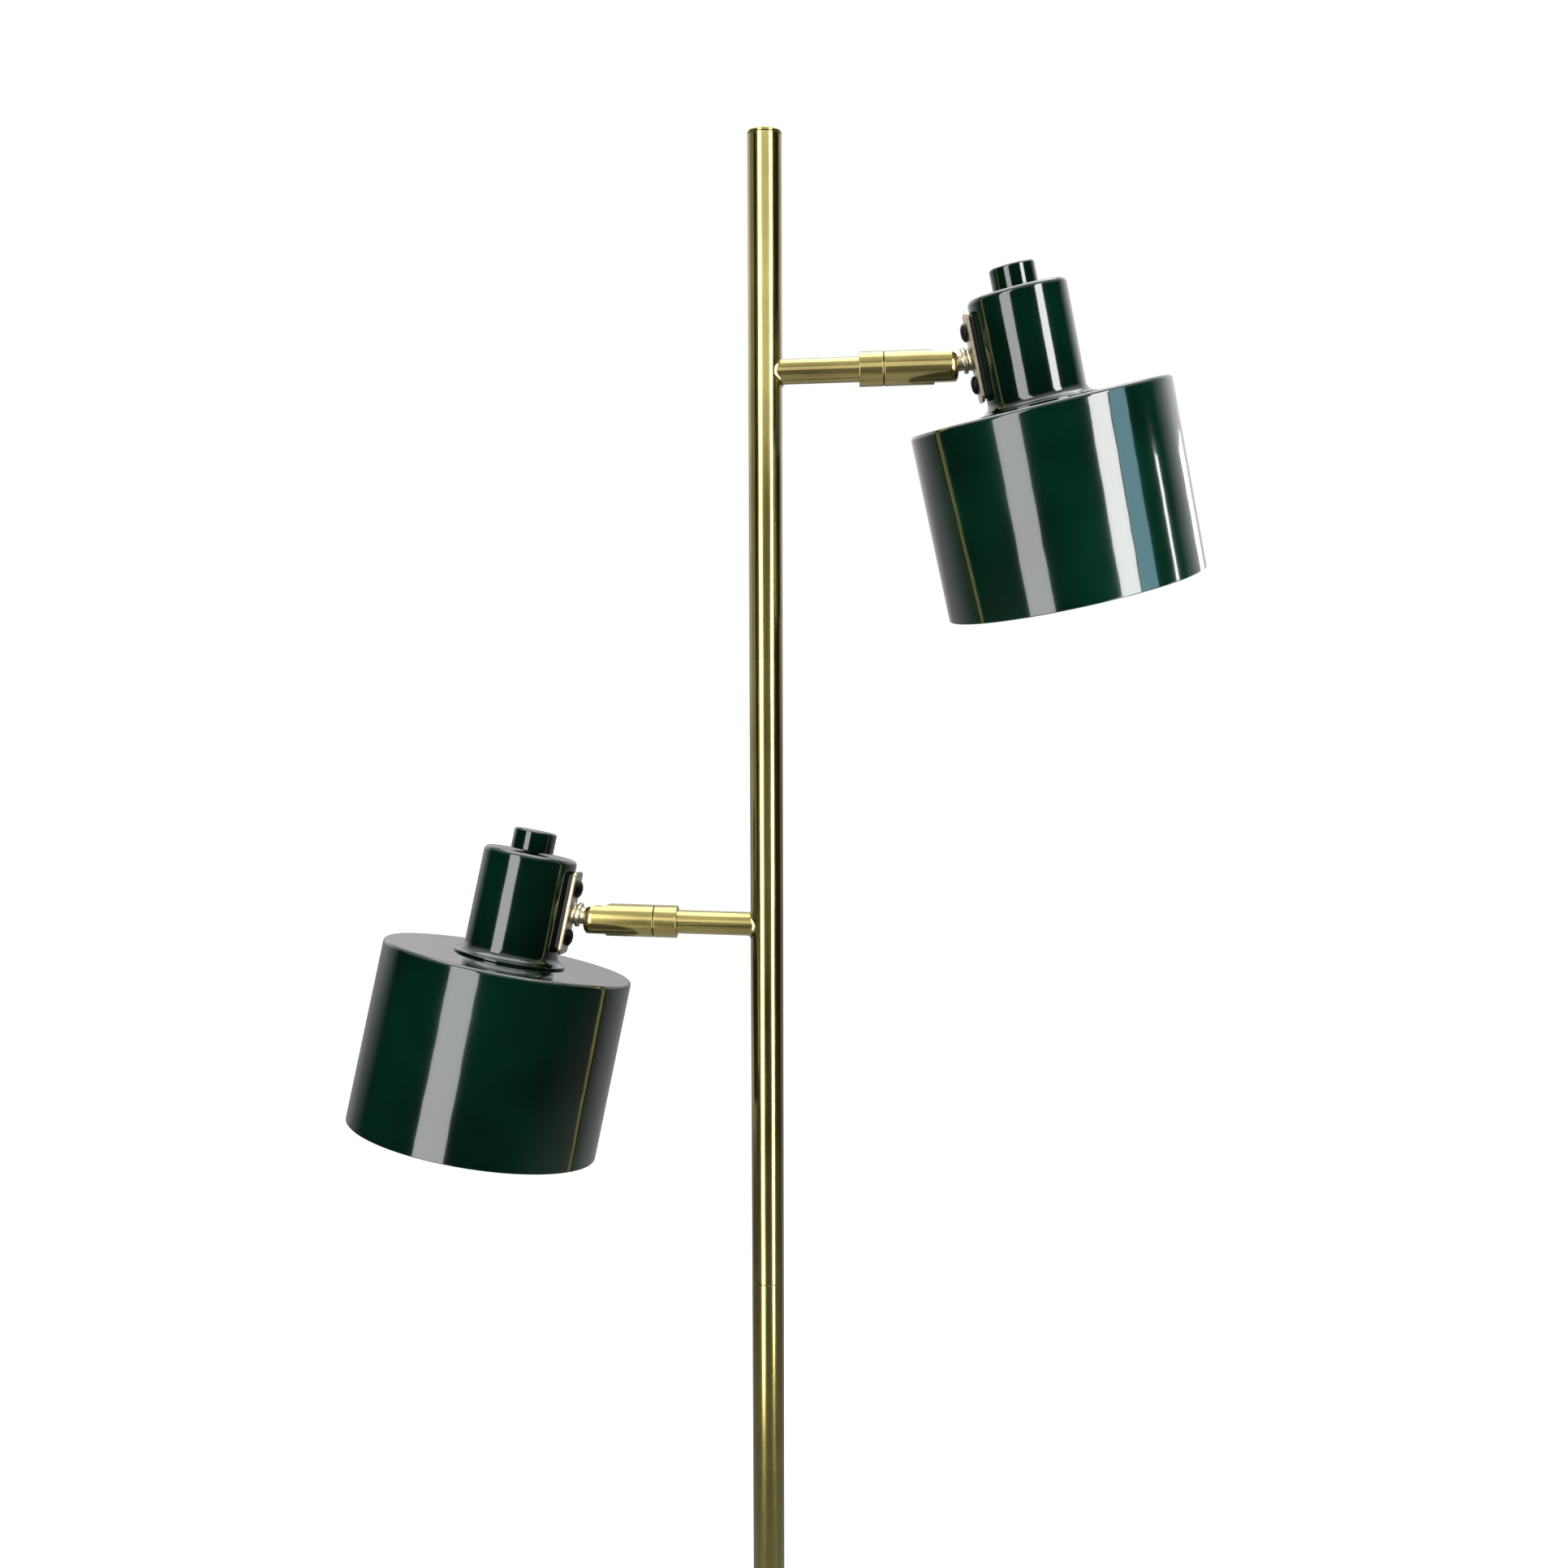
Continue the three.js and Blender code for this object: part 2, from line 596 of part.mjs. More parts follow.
function plateScrew(side) {
  const under = plateFace - GAP;
  const crown = under - SCREW.height;
  const screw = alongX(turned([
    [0, crown],
    [SCREW.head * 0.45, crown + 0.15],
    [SCREW.head * 0.8, crown + SCREW.height * 0.35],
    [SCREW.head, under - 0.6],
    [SCREW.head, under],
    [SCREW.shank, under],
    [SCREW.shank, under + SCREW.length],
    [0, under + SCREW.length],
  ], SMALL));
  const half = RECESS.length / 2;
  const thin = RECESS.width / 2;
  const depth = crown + RECESS.depth;
  const cross = [
    box([crown - 1, -half, -thin], [depth, half, thin]),
    box([crown - 1, -thin, -half], [depth, thin, half]),
  ];
  return cut(screw, ...cross).translate(0, 0, side * SCREW_SPACING);
}

function shadeNeck() {
  const fillet = footRadius - NECK_RADIUS;
  const corner = NECK_RADIUS - NECK_ROUNDING;
  const inner = NECK_ROUNDING - NECK_WALL;
  const shell = turnedRing([
    [footRadius, neckFoot],
    [footRadius, neckFoot + FOOT_LIP],
    ...arc(footRadius, neckFoot + FOOT_LIP + fillet, fillet, 262, 180),
    ...arc(corner, NECK_ABOVE - NECK_ROUNDING, NECK_ROUNDING, 0, 90),
    [SWITCH.bush + GAP, NECK_ABOVE],
    [SWITCH.bush + GAP, neckCeiling],
    ...arc(corner, NECK_ABOVE - NECK_ROUNDING, inner, 90, 0, 2),
    [neckBore, neckFoot],
  ], FINE).translate(headReach, 0, 0);
  return cut(shell, stemHole(), ...screwHoles());
}

function shadeDrum() {
  const corner = DRUM_RADIUS - DRUM_ROUNDING;
  const cornerZ = drumTop - DRUM_ROUNDING;
  const inner = DRUM_ROUNDING - DRUM_WALL;
  return turnedRing([
    [DRUM_RADIUS - DRUM_WALL, drumMouth],
    [DRUM_RADIUS, drumMouth],
    ...arc(corner, cornerZ, DRUM_ROUNDING, 0, 90),
    [drumHole, drumTop],
    [drumHole, drumTop - DRUM_WALL],
    ...arc(corner, cornerZ, inner, 90, 0, 2),
  ], FINE).translate(headReach, 0, 0);
}

function switchKnob() {
  const foot = NECK_ABOVE + KNOB_GAP;
  const top = foot + KNOB_HEIGHT;
  const shaftFoot = bushTop - SWITCH.rise;
  return turned([
    [0, shaftFoot],
    [SWITCH.shaft, shaftFoot],
    [SWITCH.shaft, bushTop + GAP],
    [KNOB_RADIUS - KNOB_SKIRT, bushTop + GAP],
    [KNOB_RADIUS - KNOB_SKIRT, foot],
    [KNOB_RADIUS, foot],
    ...arc(KNOB_RADIUS - CAP_ROUNDING, top - CAP_ROUNDING, CAP_ROUNDING, 0, 90, 3),
    [0, top],
  ], ROUND).translate(headReach, 0, 0);
}

function switchBody() {
  return turned([
    [0, switchFoot],
    [SWITCH.radius, switchFoot],
    [SWITCH.radius, switchTop - SWITCH.chamfer],
    [SWITCH.radius - SWITCH.chamfer, switchTop],
    [SWITCH.bush, switchTop],
    [SWITCH.bush, bushTop],
    [SWITCH.shaft + GAP, bushTop],
    [SWITCH.shaft + GAP, bushTop - SWITCH.rise - GAP],
    [0, bushTop - SWITCH.rise - GAP],
  ], SMALL).translate(headReach, 0, 0);
}

function switchNut() {
  const foot = NECK_ABOVE + GAP;
  const nut = hexNut(SWITCH.bush + GAP, SWITCH_NUT.radius, foot, foot + SWITCH_NUT.height);
  return nut.translate(headReach, 0, 0);
}

// A bent strip: the upright leg takes the plate's screws and the level leg
// carries the lamp holder.
function holderBracket() {
  const half = BRACKET.width / 2;
  const upright = box([bracketFace, -half, -BRACKET.reach], [bracketBack, half, BRACKET.reach]);
  const legEnd = headReach + HOLDER.boss + 4;
  const level = box(
    [bracketFace, -half, bracketFloor],
    [legEnd, half, bracketFloor + BRACKET.thickness],
  );
  const bore = rod(neckBore - GAP, -2 * BRACKET.reach, 2 * BRACKET.reach, FINE);
  const boss = rod(HOLDER.boss + GAP, bracketFloor - 5, bracketFloor + 5, SMALL);
  const strip = cut(joined(upright, level), stemHole(), ...screwHoles(),
    boss.translate(headReach, 0, 0));
  return geometryOf(solid(strip).intersect(solid(bore.translate(headReach, 0, 0))));
}

function lampHolder() {
  const shoulder = neckFoot + HOLDER_FLANGE_HEIGHT;
  const ringFoot = drumTop - DRUM_WALL - GAP - HOLDER_RING.height;
  const bossTop = bracketFloor + BRACKET.thickness + 1;
  const floor = capFoot + BULB.capLength + GAP;
  return turned([
    [0, floor],
    [HOLDER.bore, floor],
    [HOLDER.bore, holderMouth],
    [HOLDER.lip, holderMouth],
    [HOLDER.lip, ringFoot - 1],
    [HOLDER.skirt, ringFoot - 1],
    [HOLDER.skirt, neckFoot],
    [flangeRadius, neckFoot],
    [flangeRadius, shoulder],
    [HOLDER.body, shoulder],
    [HOLDER.body, holderTop - 3],
    [HOLDER.cap, holderTop],
    [HOLDER.boss, holderTop],
    [HOLDER.boss, bossTop],
    [0, bossTop],
  ], ROUND).translate(headReach, 0, 0);
}

function holderRing() {
  const top = drumTop - DRUM_WALL - GAP;
  const ring = pipe(HOLDER.skirt + GAP, HOLDER_RING.radius, top - HOLDER_RING.height, top);
  return ring.translate(headReach, 0, 0);
}

function bulbCap() {
  const top = capFoot + BULB.capLength;
  return turned([
    [0, capFoot],
    [BULB.cap, capFoot],
    [BULB.cap, top - 5],
    [BULB.cap - 4, top - 2],
    [5, top],
    [0, top],
  ], SMALL).translate(headReach, 0, 0);
}

function bulbGlass() {
  const centre = capFoot - BULB.drop;
  return turned([
    ...arc(0, centre, BULB.radius, -90, 52, 6),
    [BULB.throat, capFoot - GAP],
    [BULB.throat - BULB.wall, capFoot - GAP],
    ...arc(0, centre, BULB.radius - BULB.wall, 52, -90, 6),
  ], SMALL).translate(headReach, 0, 0);
}

// From the back of the ball, through the hollow stem, up to the switch.
function headLead() {
  const turn = headReach - 4;
  const line = new THREE.Path();
  line.moveTo(LEAD_EDGE - BALL_RADIUS + GAP, 0);
  line.lineTo(stubEnd + 1, 0);
  line.quadraticCurveTo(turn, 0, turn, switchFoot - GAP - LEAD_EDGE);
  return flatLead(line, 0);
}

function stemNut() {
  const end = stemNutStart + STEM_NUT.length;
  return alongX(hexNut(STUB_RADIUS + GAP, STEM_NUT.radius, stemNutStart, end));
}

// -------------------------------------------------------------- assembly ----

function buildHead(parent, name) {
  const add = (piece, geometry, material) => place(parent, `${name}_${piece}`, geometry, material);
  add('joint_ball', jointBall(), NICKEL);
  add('stem_nut', stemNut(), ZINC);
  add('mount_plate', mountPlate(), NICKEL);
  add('plate_pad', platePad(), BLACK_PLASTIC);
  add('plate_screw_top', plateScrew(1), BLACK_STEEL);
  add('plate_screw_bottom', plateScrew(-1), BLACK_STEEL);
  add('shade_neck', shadeNeck(), GREEN);
  add('shade_drum', shadeDrum(), GREEN);
  add('switch_knob', switchKnob(), GREEN);
  add('switch_nut', switchNut(), ZINC);
  add('switch_body', switchBody(), BLACK_PLASTIC);
  add('holder_bracket', holderBracket(), ZINC);
  add('lamp_holder', lampHolder(), BLACK_PLASTIC);
  add('holder_ring', holderRing(), BLACK_PLASTIC);
  add('bulb_cap', bulbCap(), ZINC);
  add('bulb_glass', bulbGlass(), OPAL_GLASS);
  add('head_lead', headLead(), LEAD);
}

function buildArm(lamp, head) {
  const arm = new THREE.Group();
  arm.position.z = head.side > 0 ? upperArmHeight : lowerArmHeight;
  arm.rotation.set(0, -ARM_RISE, head.yaw, 'ZYX');
  lamp.add(arm);
  place(arm, `${head.name}_arm_tube`, armTube(), BRASS);
  place(arm, `${head.name}_arm_collar`, armCollar(), BRASS);
  place(arm, `${head.name}_swivel_nut`, lockNut(), ZINC);

  const swivel = new THREE.Group();
  swivel.rotation.x = THREE.MathUtils.degToRad(head.swivel);
  arm.add(swivel);
  place(swivel, `${head.name}_joint_barrel`, jointBarrel(), BRASS);

  const tilted = new THREE.Group();
  tilted.position.x = ballReach;
  tilted.rotation.y = -THREE.MathUtils.degToRad(head.tilt);
  swivel.add(tilted);
  buildHead(tilted, head.name);
}

const group = new THREE.Group();
buildBase(group);
buildPole(group);
HEADS.forEach((head) => buildArm(group, head));

export default group;
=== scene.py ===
# %% [markdown]
# # An adjustable arm floor lamp
# The lamp is a brass pole on a weighted base. Two short arms leave it in opposite
# directions, and each carries a lacquered shade on a ball joint. The engineering model
# is loaded first and is never moved. Everything below gives it its looks: smooth
# turned pieces where the model has facets, and a finish for every surface.

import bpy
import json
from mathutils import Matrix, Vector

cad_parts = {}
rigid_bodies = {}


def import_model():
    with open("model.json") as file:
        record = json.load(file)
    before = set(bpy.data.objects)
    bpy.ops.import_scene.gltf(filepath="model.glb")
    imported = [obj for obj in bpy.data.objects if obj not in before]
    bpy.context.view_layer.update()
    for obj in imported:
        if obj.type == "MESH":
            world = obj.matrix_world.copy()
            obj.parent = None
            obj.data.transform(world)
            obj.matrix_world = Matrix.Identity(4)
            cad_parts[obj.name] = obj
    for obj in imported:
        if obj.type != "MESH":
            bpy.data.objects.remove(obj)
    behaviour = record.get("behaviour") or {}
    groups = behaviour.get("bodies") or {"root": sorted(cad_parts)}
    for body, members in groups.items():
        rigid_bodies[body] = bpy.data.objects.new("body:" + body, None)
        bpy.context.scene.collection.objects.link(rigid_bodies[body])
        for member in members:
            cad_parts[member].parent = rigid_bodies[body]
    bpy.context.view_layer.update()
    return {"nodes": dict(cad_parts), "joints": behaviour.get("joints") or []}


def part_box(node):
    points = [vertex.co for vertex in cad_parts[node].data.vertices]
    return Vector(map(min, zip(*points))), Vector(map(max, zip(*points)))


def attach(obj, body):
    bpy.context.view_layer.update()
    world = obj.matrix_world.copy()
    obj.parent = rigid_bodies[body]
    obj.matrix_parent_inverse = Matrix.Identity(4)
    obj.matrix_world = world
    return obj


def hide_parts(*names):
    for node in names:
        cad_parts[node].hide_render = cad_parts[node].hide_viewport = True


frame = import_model()

# %% Libraries
import json
import math

import bmesh
import bpy
from mathutils import Matrix, Vector

print("scene is made of metres:", bpy.context.scene.unit_settings.scale_length == 1)

# %% [markdown]
# ## Camera
# The eye stands a little above the upper shade's foot, 0.7 m in front of the pole,
# and looks slightly down. Making the camera first fixes what has to look right. It
# has no depth of field and no shift.

# %% Camera
EYE = Vector((0.04494, -0.70150, 1.23230))
FORWARD = Vector((-0.05155, 0.99157, -0.11889))
UPWARD = Vector((-0.00435, 0.11882, 0.99291))
SENSOR_WIDTH, FOCAL_LENGTH = 36.0, 33.618

lens = bpy.data.cameras.new("camera")
lens.sensor_width, lens.lens = SENSOR_WIDTH, FOCAL_LENGTH
lens.clip_start, lens.clip_end = 0.01, 100.0
camera = bpy.data.objects.new("camera", lens)
sideways = FORWARD.cross(UPWARD).normalized()
turn = Matrix((sideways, UPWARD, -FORWARD)).transposed()
camera.matrix_world = Matrix.Translation(EYE) @ turn.to_4x4()
bpy.context.scene.collection.objects.link(camera)
bpy.context.scene.camera = camera
print("camera height:", round(EYE.z, 3), "m")

# %% [markdown]
# ## Colours and node trees
# Colours are chosen as sRGB hex values, as on a paint card, but a shader works in
# linear light, so one function converts them. A second small function adds a node
# with its settings and links, which keeps each material short enough to read.

# %% Colour and node helpers
def linear(hex_colour):
    """An sRGB hex colour as linear RGBA."""
    parts = [int(hex_colour[i:i + 2], 16) / 255 for i in (1, 3, 5)]
    channels = [p / 12.92 if p <= 0.04045 else ((p + 0.055) / 1.055) ** 2.4 for p in parts]
    return (*channels, 1.0)


def add(tree, kind, inputs=None, **settings):
    """Adds a node. An input is given a value, or a socket to be linked to."""
    node = tree.nodes.new(kind)
    for name, value in settings.items():
        setattr(node, name, value)
    for name, value in (inputs or {}).items():
        if isinstance(value, bpy.types.NodeSocket):
            tree.links.new(value, node.inputs[name])
        else:
            node.inputs[name].default_value = value
    return node


def blank(name):
    """A new material with an empty tree, and its output node."""
    material = bpy.data.materials.new(name)
    material.use_nodes = True
    material.node_tree.nodes.clear()
    return material, material.node_tree, add(material.node_tree, "ShaderNodeOutputMaterial")


MM = 0.001


def per_mm(size):
    """Texture scale that gives a pattern this size in millimetres."""
    return 1 / (size * MM)


print("mid grey in linear light:", round(linear("#808080")[0], 3))

# %% [markdown]
# ## Bottle-green gloss lacquer
# The shades are spun steel, sprayed with lacquer and baked. A clear gloss coat over
# a deep colour gives sharp reflections of the studio, and spraying leaves a faint
# orange peel: cells about 1.6 mm wide on a slower waviness of about 16 mm. The cells
# are a few thousandths of a millimetre high and the waves less than a tenth, so both
# belong in the bump and not in the mesh. The colour drifts over some 45 mm.

# %% Lacquer
ORANGE_PEEL, WAVINESS, COLOUR_DRIFT = 1.6, 16.0, 45.0
PEEL_HEIGHT, WAVE_HEIGHT = 0.0035, 0.1


def gloss_lacquer(name, deep, light):
    material, tree, output = blank(name)
    place = add(tree, "ShaderNodeTexCoord").outputs["Object"]
    peel = add(tree, "ShaderNodeTexNoise", {"Vector": place, "Scale": per_mm(ORANGE_PEEL),
                                            "Detail": 1.0, "Roughness": 0.4})
    wave = add(tree, "ShaderNodeTexNoise", {"Vector": place, "Scale": per_mm(WAVINESS),
                                            "Detail": 1.0, "Roughness": 0.35})
    tint = add(tree, "ShaderNodeTexNoise", {"Vector": place, "Scale": per_mm(COLOUR_DRIFT),
                                            "Detail": 2.0})
    colour = add(tree, "ShaderNodeValToRGB", {"Fac": tint.outputs["Fac"]})
    colour.color_ramp.elements[0].position = 0.35
    colour.color_ramp.elements[0].color = linear(deep)
    colour.color_ramp.elements[1].position = 0.7
    colour.color_ramp.elements[1].color = linear(light)
    broad = add(tree, "ShaderNodeBump", {"Height": wave.outputs["Fac"], "Strength": 1.0,
                                         "Distance": WAVE_HEIGHT * MM})
    fine = add(tree, "ShaderNodeBump", {"Height": peel.outputs["Fac"], "Strength": 1.0,
                                        "Distance": PEEL_HEIGHT * MM,
                                        "Normal": broad.outputs["Normal"]})
    rough = add(tree, "ShaderNodeMapRange", {"Value": tint.outputs["Fac"], "To Min": 0.09,
                                             "To Max": 0.15})
    shader = add(tree, "ShaderNodeBsdfPrincipled", {
        "Base Color": colour.outputs["Color"], "Roughness": rough.outputs["Result"],
        "IOR": 1.5, "Coat Weight": 1.0, "Coat Roughness": 0.02, "Coat IOR": 1.5,
        "Normal": fine.outputs["Normal"]})
    tree.links.new(fine.outputs["Normal"], shader.inputs["Coat Normal"])
    tree.links.new(shader.outputs["BSDF"], output.inputs["Surface"])
    return material


GREEN_LACQUER = gloss_lacquer("bottle_green_gloss_lacquer", "#00150b", "#012316")
print("made", GREEN_LACQUER.name)

# %% [markdown]
# ## Brushed and lacquered brass
# Drawn brass tube is brushed along its length with a fine abrasive. The scratches
# are far finer than can be seen, so they are drawn about 0.35 mm wide and 60 mm
# long. They stretch the highlights and vary the roughness. Handling leaves
# slow, slightly greener and darker patches. A thin clear lacquer keeps brass from
# tarnishing, and turns the middle of each highlight from yellow to almost white. The
# grain runs along the piece, so the direction is an argument. Satin nickel plate and
# zinc-plated steel are brushed as well. Their scratches are shorter and they have no
# lacquer, so they look duller and greyer than the brass.

# %% Brass and nickel
SCRATCH_WIDTH, SCRATCH_LENGTH, SCRATCH_DEPTH = 0.35, 60.0, 0.007
PATINA = 38.0


def brushed_metal(name, dark, bright, along, roughness, length=SCRATCH_LENGTH, **coat):
    material, tree, output = blank(name)
    place = add(tree, "ShaderNodeTexCoord").outputs["Object"]
    scale = [per_mm(SCRATCH_WIDTH)] * 3
    scale["XYZ".index(along)] = per_mm(length)
    stretched = add(tree, "ShaderNodeMapping", {"Vector": place, "Scale": scale})
    grain = add(tree, "ShaderNodeTexNoise", {"Vector": stretched.outputs["Vector"],
                                             "Scale": 1.0, "Detail": 3.0, "Roughness": 0.6})
    patina = add(tree, "ShaderNodeTexNoise", {"Vector": place, "Scale": per_mm(PATINA),
                                              "Detail": 4.0, "Roughness": 0.55})
    mixed = add(tree, "ShaderNodeMath", {0: grain.outputs["Fac"], 1: patina.outputs["Fac"]},
                operation="ADD")
    share = add(tree, "ShaderNodeMath", {0: mixed.outputs[0], 1: 0.5}, operation="MULTIPLY")
    colour = add(tree, "ShaderNodeValToRGB", {"Fac": share.outputs[0]})
    colour.color_ramp.elements[0].position = 0.36
    colour.color_ramp.elements[0].color = linear(dark)
    colour.color_ramp.elements[1].position = 0.64
    colour.color_ramp.elements[1].color = linear(bright)
    low, high = roughness
    rough = add(tree, "ShaderNodeMapRange", {"Value": grain.outputs["Fac"], "From Min": 0.3,
                                             "From Max": 0.7, "To Min": low, "To Max": high})
    bump = add(tree, "ShaderNodeBump", {"Height": grain.outputs["Fac"], "Strength": 1.0,
                                        "Distance": SCRATCH_DEPTH * MM})
    shader = add(tree, "ShaderNodeBsdfPrincipled", {
        "Base Color": colour.outputs["Color"], "Metallic": 1.0,
        "Roughness": rough.outputs["Result"], "Normal": bump.outputs["Normal"], **coat})
    tree.links.new(shader.outputs["BSDF"], output.inputs["Surface"])
    return material


CLEAR_LACQUER = {"Coat Weight": 1.0, "Coat Roughness": 0.12, "Coat IOR": 1.5}
BRASS_POLE = brushed_metal("brushed_brass_pole", "#8b8041", "#aea45b", "Z", (0.13, 0.22),
                           **CLEAR_LACQUER)
BRASS_ARM = brushed_metal("brushed_brass_arm", "#96884b", "#b6a761", "X", (0.13, 0.23),
                          **CLEAR_LACQUER)
NICKEL_PLATE = brushed_metal("satin_nickel_plate", "#a89e86", "#cfc6ae", "Z", (0.24, 0.36),
                             length=12)
ZINC_STEEL = brushed_metal("zinc_plated_steel", "#8b8f92", "#b4b8ba", "X", (0.32, 0.5),
                           length=8)
print("made", BRASS_POLE.name, BRASS_ARM.name, NICKEL_PLATE.name, ZINC_STEEL.name)

# %% [markdown]
# ## The plainer finishes
# Enamel inside the shade, blackened screws, phenolic and PVC parts, wool felt and
# cast iron differ in colour, roughness and the size of their grain. One recipe
# serves them all: two hex colours, a grain size in millimetres, a grain
# height, and the typical roughness and metallic value of the real material. To the
# eye, baked enamel is smooth with a soft shine, blackened steel keeps a dull metallic
# sheen, and moulded phenolic, nylon and PVC are even and slightly glossy. Pressed
# felt is matt and fuzzy, cast iron is rough and sandy, a plated cap is bright with
# blurred reflections, and opal glass is glossy and glows from within.

# %% Grained finishes
def grained(name, dark, light, grain, height, roughness, metallic=0.0, **surface):
    material, tree, output = blank(name)
    place = add(tree, "ShaderNodeTexCoord").outputs["Object"]
    speckle = add(tree, "ShaderNodeTexNoise", {"Vector": place, "Scale": per_mm(grain),
                                               "Detail": 5.0, "Roughness": 0.6})
    colour = add(tree, "ShaderNodeValToRGB", {"Fac": speckle.outputs["Fac"]})
    colour.color_ramp.elements[0].position = 0.35
    colour.color_ramp.elements[0].color = linear(dark)
    colour.color_ramp.elements[1].position = 0.65
    colour.color_ramp.elements[1].color = linear(light)
    low, high = roughness
    rough = add(tree, "ShaderNodeMapRange", {"Value": speckle.outputs["Fac"],
                                             "To Min": low, "To Max": high})
    bump = add(tree, "ShaderNodeBump", {"Height": speckle.outputs["Fac"],
                                        "Distance": height * MM, "Strength": 1.0})
    shader = add(tree, "ShaderNodeBsdfPrincipled", {
        "Base Color": colour.outputs["Color"], "Metallic": metallic,
        "Roughness": rough.outputs["Result"], "Normal": bump.outputs["Normal"], **surface})
    tree.links.new(shader.outputs["BSDF"], output.inputs["Surface"])
    return material


WHITE_ENAMEL = grained("white_shade_enamel", "#e9e7df", "#f4f2ec", 2.2, 0.006, (0.28, 0.4))
BLACK_STEEL = grained("blackened_steel", "#08080a", "#191a1c", 0.8, 0.004, (0.3, 0.45), 0.7)
PHENOLIC = grained("black_phenolic", "#0d0d0e", "#1a1a1b", 1.2, 0.008, (0.35, 0.5))
WOOL_FELT = grained("wool_felt", "#131413", "#2b2c2a", 0.5, 0.12, (0.9, 1.0), **{
    "Sheen Weight": 0.5, "Sheen Roughness": 0.6})
CAST_IRON = grained("cast_iron", "#2b2b2c", "#4a4a4b", 1.4, 0.15, (0.6, 0.85), 0.6)
WHITE_NYLON = grained("white_nylon", "#dedbd2", "#efece4", 1.5, 0.01, (0.35, 0.5))
LEAD_PVC = grained("cream_pvc", "#cdc8ba", "#dedacd", 0.9, 0.01, (0.4, 0.55))
CAP_METAL = grained("plated_bulb_cap", "#aeb0b0", "#cdcecc", 1.0, 0.004, (0.25, 0.4), 1.0)
OPAL_GLASS = grained("opal_glass", "#f1eee4", "#fbf9f2", 6.0, 0.002, (0.08, 0.14), **{
    "IOR": 1.52, "Subsurface Weight": 0.6, "Subsurface Radius": (0.004, 0.004, 0.004)})
print("made", len(bpy.data.materials), "materials in all")

# %% [markdown]
# ## Turning pieces on a lathe
# Nearly every visible piece was turned or spun, so it is made the same way here: a
# half outline in millimetres is swept round an axis in fine steps. Real
# corners are never dead sharp, so an outline is a list of (radius, height,
# rounding) corners, and each rounding becomes a small arc of real geometry.

# %% Outlines and lathe
def rounded(corners, closed, steps=6):
    """Replaces each corner that has a rounding by an arc. Points are (radius, height)."""
    outline = []
    count = len(corners)
    for i, (x, y, rounding) in enumerate(corners):
        ends = not closed and i in (0, count - 1)
        if rounding <= 0 or ends:
            outline.append((x, y))
            continue
        here = Vector((x, y))
        before = (Vector(corners[i - 1][:2]) - here).normalized()
        after = (Vector(corners[(i + 1) % count][:2]) - here).normalized()
        half = before.angle(after) / 2
        start = here + before * rounding / math.tan(half)
        stop = here + after * rounding / math.tan(half)
        centre = here + (before + after).normalized() * rounding / math.sin(half)
        a, b = start - centre, stop - centre
        for k in range(steps + 1):
            t = k / steps
            arm = (a * (1 - t) + b * t).normalized() * rounding
            outline.append(tuple(centre + arm))
    return outline


def lathe(outline, steps=96):
    """Sweeps an outline round Z. It closes on itself unless it starts and ends on the axis."""
    shape = bmesh.new()
    rings = []
    for radius, height in outline:
        spots = steps if radius > 1e-6 else 1
        rings.append([shape.verts.new((
            radius * math.cos(math.tau * i / steps), radius * math.sin(math.tau * i / steps),
            height)) for i in range(spots)])
    pairs = list(zip(rings, rings[1:]))
    if outline[0][0] > 1e-6:
        pairs.append((rings[-1], rings[0]))
    for lower, upper in pairs:
        for i in range(steps):
            j = (i + 1) % steps
            corners = (lower[i % len(lower)], lower[j % len(lower)],
                       upper[j % len(upper)], upper[i % len(upper)])
            face = list(dict.fromkeys(corners))
            if len(face) > 2:
                shape.faces.new(face)
    bmesh.ops.recalc_face_normals(shape, faces=shape.faces)
    return shape


def piece_of(name, shape, turn_to="Z", shift=(0, 0, 0)):
    """Makes a mesh object from a shape, in millimetres, with its axis along X, Y or Z."""
    turns = {"Z": Matrix(), "X": Matrix.Rotation(math.pi / 2, 4, "Y"),
             "Y": Matrix.Rotation(-math.pi / 2, 4, "X")}
    shape.transform(Matrix.Translation(shift) @ turns[turn_to])
    mesh = bpy.data.meshes.new(name)
    shape.to_mesh(mesh)
    shape.free()
    piece = bpy.data.objects.new(name, mesh)
    bpy.context.scene.collection.objects.link(piece)
    return piece


def block(low, high):
    """A box between two corners, used to cut with."""
    shape = bmesh.new()
    bmesh.ops.create_cube(shape, size=1.0)
    size = Vector(high) - Vector(low)
    shape.transform(Matrix.Translation((Vector(low) + Vector(high)) / 2)
                    @ Matrix.Diagonal((*size, 1)))
    return piece_of("cutter", shape)


def drill(radius, start, stop, turn_to="X", shift=(0, 0, 0), steps=48):
    """A round bar, used to cut with."""
    bar = lathe([(0, start), (radius, start), (radius, stop), (0, stop)], steps)
    return piece_of("cutter", bar, turn_to, shift)


def machine(piece, tools, how="DIFFERENCE"):
    """Cuts the tools out of a piece, or joins them to it, and throws the tools away."""
    for tool in tools:
        step = piece.modifiers.new("step", "BOOLEAN")
        step.object, step.operation, step.solver = tool, how, "EXACT"
    made = bpy.data.meshes.new_from_object(
        piece.evaluated_get(bpy.context.evaluated_depsgraph_get()))
    piece.modifiers.clear()
    old, piece.data = piece.data, made
    bpy.data.meshes.remove(old)
    for tool in tools:
        bpy.data.objects.remove(tool)
    return piece


bar_end = rounded([(0, 0, 0), (4, 0, 1), (4, 8, 0)], closed=False)
print("one rounded corner is drawn with", len(bar_end) - 2, "points")

